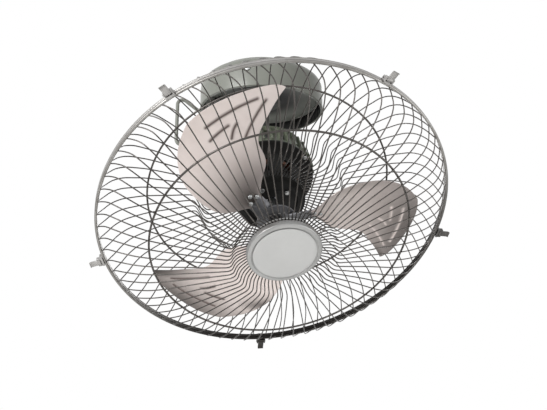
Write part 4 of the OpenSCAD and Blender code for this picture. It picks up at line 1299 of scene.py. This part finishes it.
@dataclass
class Rotor:
    """Shaft, hub and the three pressed blades.

    Attributes:
        root_f: depth of the blades at their root, from the rim's plane.
        rise, twist_r: drop in millimetres per degree across a blade, and the radius from which it is whole.
        root_mid: angle of the arm behind the blade's tip, in degrees.
        tips: clock angles of the blades' tips in degrees.
        lead, trail, ribs: points as a share of the tip's radius, and degrees behind the tip.
        rib_line: half width of the painted shade along a rib.
        corner: how much of the blade's length its tip's corners lose.
        lead_corner, trail_corner: share of the blade's width that each corner's rounding takes.
        rivets: places on an arm, out from the axis and across.
        rivet_eye: height of the dimple in a rivet's middle.
        rib_shade: strength of the painted shade along each blade's ribs.
    """

    tip_r: float = 219.0
    root_f: float = 6.0
    rise: float = 0.58
    twist_r: float = 70.0
    root_mid: float = 42.0
    sheet: float = 1.2
    rib_height: float = 1.7
    rib_width: float = 3.4
    rows: int = 130
    columns: int = 110
    tips: tuple[float, ...] = (97.6, -22.4, -142.4)
    lead: tuple[Point, ...] = ((0.244, 31), (0.432, 13.5), (0.636, 15), (0.809, 7.7), (1, 0))
    trail: tuple[Point, ...] = ((0.244, 54), (0.418, 69), (0.677, 62.3), (0.872, 50.8), (1.01, 37))
    ribs: tuple[tuple[Point, ...], ...] = (
        ((0.934, 11.9), (0.916, 22.9), (0.901, 34.2)),
        ((0.911, 8.7), (0.8, 15), (0.703, 21)),
        ((0.832, 26.1), (0.823, 31), (0.81, 36.1)),
        ((0.818, 22.7), (0.788, 25), (0.74, 27.5)),
    )
    rib_line: float = 2.2
    rib_spans: int = 6
    corner: float = 0.05
    lead_corner: float = 0.2
    trail_corner: float = 0.25
    rivets: tuple[Point, ...] = ((57, 7), (57, -7), (66, 0))
    rivet_r: float = 3.6
    rivet_dome_r: float = 3.2
    rivet_eye: float = 2.1
    shank_r: float = 2.0
    shank_l: float = 4.2
    rivet_gap: float = 0.4
    rivet_flatness: float = 0.7
    rib_shade: tuple[float, ...] = (1.0, 0.0, 1.0)
    # Soft patches of painted shade on each blade.
    shade_patches: tuple[tuple[ShadePatch, ...], ...] = (
        (ShadePatch(0.0, 0.5, 0.34, 0.7, 1.0), ShadePatch(0.3, 0.0, 0.3, 0.1, 0.3)),
        (ShadePatch(1.0, 0.5, 0.5, 1.0, 0.88), ShadePatch(0.6, 1.0, 0.5, 0.2, 0.5), ShadePatch(0.95, 0.0, 0.3, 0.2, 0.85)),
        (ShadePatch(1.0, 0.0, 0.36, 0.2, 0.98), ShadePatch(1.0, 0.5, 0.26, 0.8, 0.9), ShadePatch(0.64, 0.97, 0.1, 0.2, 0.8)),
    )

    def edge_point(self, edge: Sequence[Point], t: float) -> Vector:
        """A point of a smooth edge.

        Args:
            edge: the edge's few points.
            t: how far along, from 0 at the root to 1 at the tip.

        Returns:
            Radius as a share of the tip's, and angle behind the tip in degrees.
        """
        last = len(edge) - 1
        i = min(last - 1, int(t * last))
        return on_curve(edge, i, t * last - i)

    def polar(self, t: float, s: float) -> Point:
        """A place of the blade, with the tip's two corners rounded off.

        Args:
            t: how far along, from 0 at the root to 1 at the tip.
            s: how far across, from 0 at the leading edge to 1 at the trailing edge.

        Returns:
            Radius in millimetres, and angle behind the tip in degrees.
        """
        t *= 1 - self.corner * max(0.0, 1 - s / self.lead_corner, 1 - (1 - s) / self.trail_corner) ** 2
        a, b = self.edge_point(self.lead, t), self.edge_point(self.trail, t)
        return self.tip_r * (a.x + (b.x - a.x) * s), a.y + (b.y - a.y) * s

    def flat(self, radius: float, angle: float) -> Vector:
        """A place in the plane of the disc, for an angle behind the tip."""
        turn = math.radians(-angle)
        return Vector((radius * math.cos(turn), radius * math.sin(turn)))

    def rib_lines(self) -> list[list[Vector]]:
        """Draws the middle lines of the ribs.

        Returns:
            Each line's points, in the plane of the disc.
        """
        parts = [k / self.rib_spans for k in range(self.rib_spans + 1)]
        lines = [[self.edge_point(rib, part) for part in parts] for rib in self.ribs]
        return [[self.flat(r * self.tip_r, a) for r, a in line] for line in lines]

    def to_rib(self, spot: Vector, lines: Sequence[Sequence[Vector]]) -> float:
        """How far a spot lies from the nearest pressed rib.

        Args:
            spot: a place in the plane of the disc.
            lines: the ribs' middle lines.

        Returns:
            The distance in millimetres.
        """
        near = math.inf
        for line in lines:
            for a, b in zip(line, line[1:]):
                along = min(1.0, max(0.0, (spot - a).dot(b - a) / (b - a).length_squared))
                near = min(near, (spot - a - along * (b - a)).length)
        return near

    def blade(self, number: int) -> None:
        """One blade: a grid bent to the blade's outline and twist, pressed and given its thickness.

        Args:
            number: which blade, from 0.
        """
        bm = bmesh.new()
        bmesh.ops.create_grid(bm, x_segments=self.rows, y_segments=self.columns, size=0.5)
        # Masks of painted shade: along the ribs, and in soft patches on the open sheet.
        groove, patch_shade = (bm.verts.layers.float.new(name) for name in ("groove", "patch_shade"))
        lines = self.rib_lines()
        for vert in bm.verts:
            t, s = vert.co.x + 0.5, vert.co.y + 0.5
            radius, angle = self.polar(t, s)
            spot = self.flat(radius, angle)
            near = self.to_rib(spot, lines)
            lift = math.exp(-((near / (self.rib_width * 0.5)) ** 2))
            line = math.exp(-((near / self.rib_line) ** 2))
            depth = self.root_f + (angle - self.root_mid) * self.rise * min(1.0, radius / self.twist_r)
            vert.co = (spot.x, spot.y, -depth - lift * self.rib_height)
            vert[groove] = line * self.rib_shade[number]
            vert[patch_shade] = max(dark_patch.at(t, s) for dark_patch in self.shade_patches[number]) * (1.0 - line)
        bmesh.ops.recalc_face_normals(bm, faces=bm.faces)
        if sum(f.normal.z for f in bm.faces) > 0:
            bmesh.ops.reverse_faces(bm, faces=bm.faces)
        bmesh.ops.solidify(bm, geom=bm.faces[:], thickness=self.sheet)
        bmesh.ops.recalc_face_normals(bm, faces=bm.faces)
        moved(bm, about_z(-self.tips[number]))
        ease(bm, 0.35, 60)
        settle(
            bm, f"pressed_blade_{number + 1}", BLADE_SHEET, "rotor",
            [f"blade_{number + 1}"], crease=50.0,
        )

    def rivet_set(self) -> None:
        """Domed rivets that hold each blade on its arm."""
        shank = [(0, -self.shank_l), (self.shank_r, -self.shank_l), (self.shank_r, 0)]
        dome = arc(self.rivet_r - self.rivet_dome_r, 0, self.rivet_dome_r, 0, 80, 6)[1:]
        head = lathe([*shank, (self.rivet_r, 0), *dome, (0, self.rivet_eye)], 20, closed=False)
        above = [v for v in head.verts if v.co.z > 0]
        bmesh.ops.scale(head, vec=(1, 1, self.rivet_flatness), verts=above)
        pitch = math.atan(self.rise * 180 / (math.pi * self.twist_r))
        places = [
            about_z(-tip - self.root_mid)
            @ Matrix.Translation((0, 0, -self.root_f))
            @ Matrix.Rotation(pitch, 4, "X")
            @ Matrix.Translation((x, y, -self.sheet / 2 - self.rivet_gap))
            @ UPSIDE_DOWN
            for tip in self.tips
            for x, y in self.rivets
        ]
        settle(copies(head, places), "domed_rivets", ZINC_STEEL, "rotor", ["blade_rivets"])

    def build(self) -> None:
        """Builds the rotor."""
        for number in range(len(self.tips)):
            self.blade(number)
        self.rivet_set()
        eased("blade_hub", "armed_hub", STAMPED_STEEL, "rotor", 0.4)
        eased("shaft_nut", "dome_nut", BLACK_POLYMER, "rotor", 0.5)
        dress(ZINC_STEEL, "motor_shaft")
        dress(STAMPED_STEEL, "rotor_core")


# ---------------------------------------------------------------- studio


# The middle of the fan in metres, which every lamp faces but the one for the floor.
FAN_MIDDLE = (0, -0.05, -0.28)


@dataclass
class Studio:
    """Camera, plain soft light, pale floor and white surroundings.

    Attributes:
        distance: from the camera to the guard's plane along the view, in metres.
        across, below: where the guard's centre lies off the view's axis, in metres.
        azimuth, elevation: where the camera looks, in degrees.
        lens: focal length on a 36 mm wide sensor.
        floor_z, floor_half: the floor's height, and half its side, in metres.
    """

    distance: float = 1.048
    across: float = 0.0042
    below: float = 0.0215
    azimuth: float = 15.66
    elevation: float = 16.0
    lens: float = 46.08
    floor_z: float = -2.3
    floor_half: float = 6.0

    def camera(self) -> None:
        """Puts the camera where the photograph was taken from."""
        data = bpy.data.cameras.new("camera")
        data.sensor_width, data.lens = 36.0, self.lens
        data.clip_start, data.clip_end = 0.01, 50.0
        turn = Matrix.Rotation(math.radians(-self.azimuth), 4, "Z") @ Matrix.Rotation(
            math.radians(90 + self.elevation), 4, "X"
        )
        place = HEAD.to_translation() - turn.to_3x3() @ Vector((self.across, -self.below, -self.distance))
        made = shown("camera", data)
        made.matrix_world = Matrix.Translation(place) @ turn
        bpy.context.scene.camera = made

    def lamp(
        self,
        name: str,
        spot: Sequence[float],
        size: float,
        watts: float,
        faces: Sequence[float] = FAN_MIDDLE,
    ) -> None:
        """Adds a square soft box.

        Args:
            name: the lamp's name.
            spot: its place in metres.
            size: its side in metres.
            watts: its power.
            faces: the point that it faces, the fan unless given.
        """
        data = bpy.data.lights.new(name, "AREA")
        data.size, data.energy = size, watts
        made = shown(name, data)
        made.location = spot
        made.rotation_mode = "QUATERNION"
        aim = Vector(faces) - Vector(spot)
        made.rotation_quaternion = aim.to_track_quat("-Z", "Y")

    def surroundings(self) -> None:
        """White to the eye and in reflections, and a gentle light for everything else."""
        world = bpy.data.worlds.new("studio")
        bpy.context.scene.world = world
        world.use_nodes = True
        tree = world.node_tree
        tree.nodes.clear()
        path = add(tree, "LightPath", {})
        seen = add(tree, "Background", {"Color": (1, 1, 1, 1), "Strength": 1.0})
        glow = add(tree, "Background", {"Color": (1, 1, 1, 1), "Strength": 0.32})
        mirror = add(
            tree, "Math", {"operation": "MAXIMUM"},
            {0: path.outputs["Is Glossy Ray"], 1: path.outputs["Is Transmission Ray"]},
        )
        either = {0: path.outputs["Is Camera Ray"], 1: mirror.outputs[0]}
        plain = add(tree, "Math", {"operation": "MAXIMUM"}, either)
        mixed = add(tree, "MixShader", {}, {0: plain.outputs[0], 1: glow.outputs[0], 2: seen.outputs[0]})
        add(tree, "OutputWorld", {}, {"Surface": mixed.outputs[0]})

    def floor(self) -> None:
        """A wide pale floor far below the fan."""
        bm = bmesh.new()
        bmesh.ops.create_grid(bm, x_segments=1, y_segments=1, size=self.floor_half)
        bmesh.ops.translate(bm, vec=(0, 0, self.floor_z), verts=bm.verts)
        mesh = as_mesh(bm, "studio_floor")
        paint = bpy.data.materials.new("matt_floor_paint")
        paint.use_nodes = True
        shader = paint.node_tree.nodes["Principled BSDF"]
        shader.inputs["Base Color"].default_value = linear("F2F2F0")
        shader.inputs["Roughness"].default_value = 0.8
        mesh.materials.append(paint)
        shown("studio_floor", mesh)

    def build(self) -> None:
        """Builds the studio."""
        self.camera()
        self.surroundings()
        self.floor()
        self.lamp("key_light", (-1.7, -1.2, 0.1), 1.1, 38.0)
        self.lamp("fill_light", (1.6, -1.3, -0.9), 1.4, 15.0)
        self.lamp("back_light", (0.6, 1.6, 0.3), 1.2, 14.0)
        self.lamp("floor_light", (0.0, 0.0, -1.3), 3.0, 30.0, (0.0, 0.0, self.floor_z))
        bpy.context.scene.view_settings.view_transform = "Standard"


FRONT_STATIONS: tuple[Station, ...] = (
    (50, 64, -5), (60, 66, -3.3), (68, 68.6, -1.9), (73, 72.5, -0.7), (77.5, 79, 0), (83, 80.6, 0),
    (92, 78.6, 0), (118, 71.5, -0.3), (142, 64.6, -0.6), (165, 58.6, -0.9), (189, 52, -1.2),
    (208, 45.2, -1.35), (223, 38, -1.45), (237, 29.5, -1.3), (248, 20, -0.6), (256, 10.5, 1.1),
    (260, 5.4, 2.3), (262, 3.5, 2.8),
)
REAR_STATIONS: tuple[Station, ...] = (
    (48, 43.6, 3), (57, 42.4, 2.6), (66, 37.6, 2.1), (80, 32, 1), (92, 28.6, 0.3), (101, 27.6, 0),
    (107, 33, -1.2), (112, 48, -2.8), (117, 62, -3.9), (125, 67, -4.1), (150, 67, -4.2), (189, 67, -4.4),
    (212, 62.5, -4.7), (228, 57.5, -4.9), (242, 46, -5.3), (252, 29, -6.1), (259, 12, -7.5), (261, 6.2, -8),
    (262, 3.5, -8.4),
)
FRONT_RINGS: tuple[Station, ...] = ((50, 64, 4.0), (189, 50, 3.0), (262, 3.5, 4.2))
REAR_RINGS: tuple[Station, ...] = ((48, 43.6, 4.0), (189, 65, 3.0), (262, 3.5, 4.2))
REAR_PHASE = 2.2


def main() -> None:
    """Builds the studio and every sub-assembly."""
    logging.basicConfig(level=logging.INFO, format="%(name)s %(message)s")
    Studio().build()
    CeilingBase().build()
    Turntable().build()
    FanMotor().build()
    WireGuard(Side.FRONT, FRONT_STATIONS, FRONT_RINGS).build()
    WireGuard(Side.REAR, REAR_STATIONS, REAR_RINGS, phase=REAR_PHASE).build()
    Rim().build()
    Badge().build()
    Rotor().build()


if __name__ == "__main__":
    main()
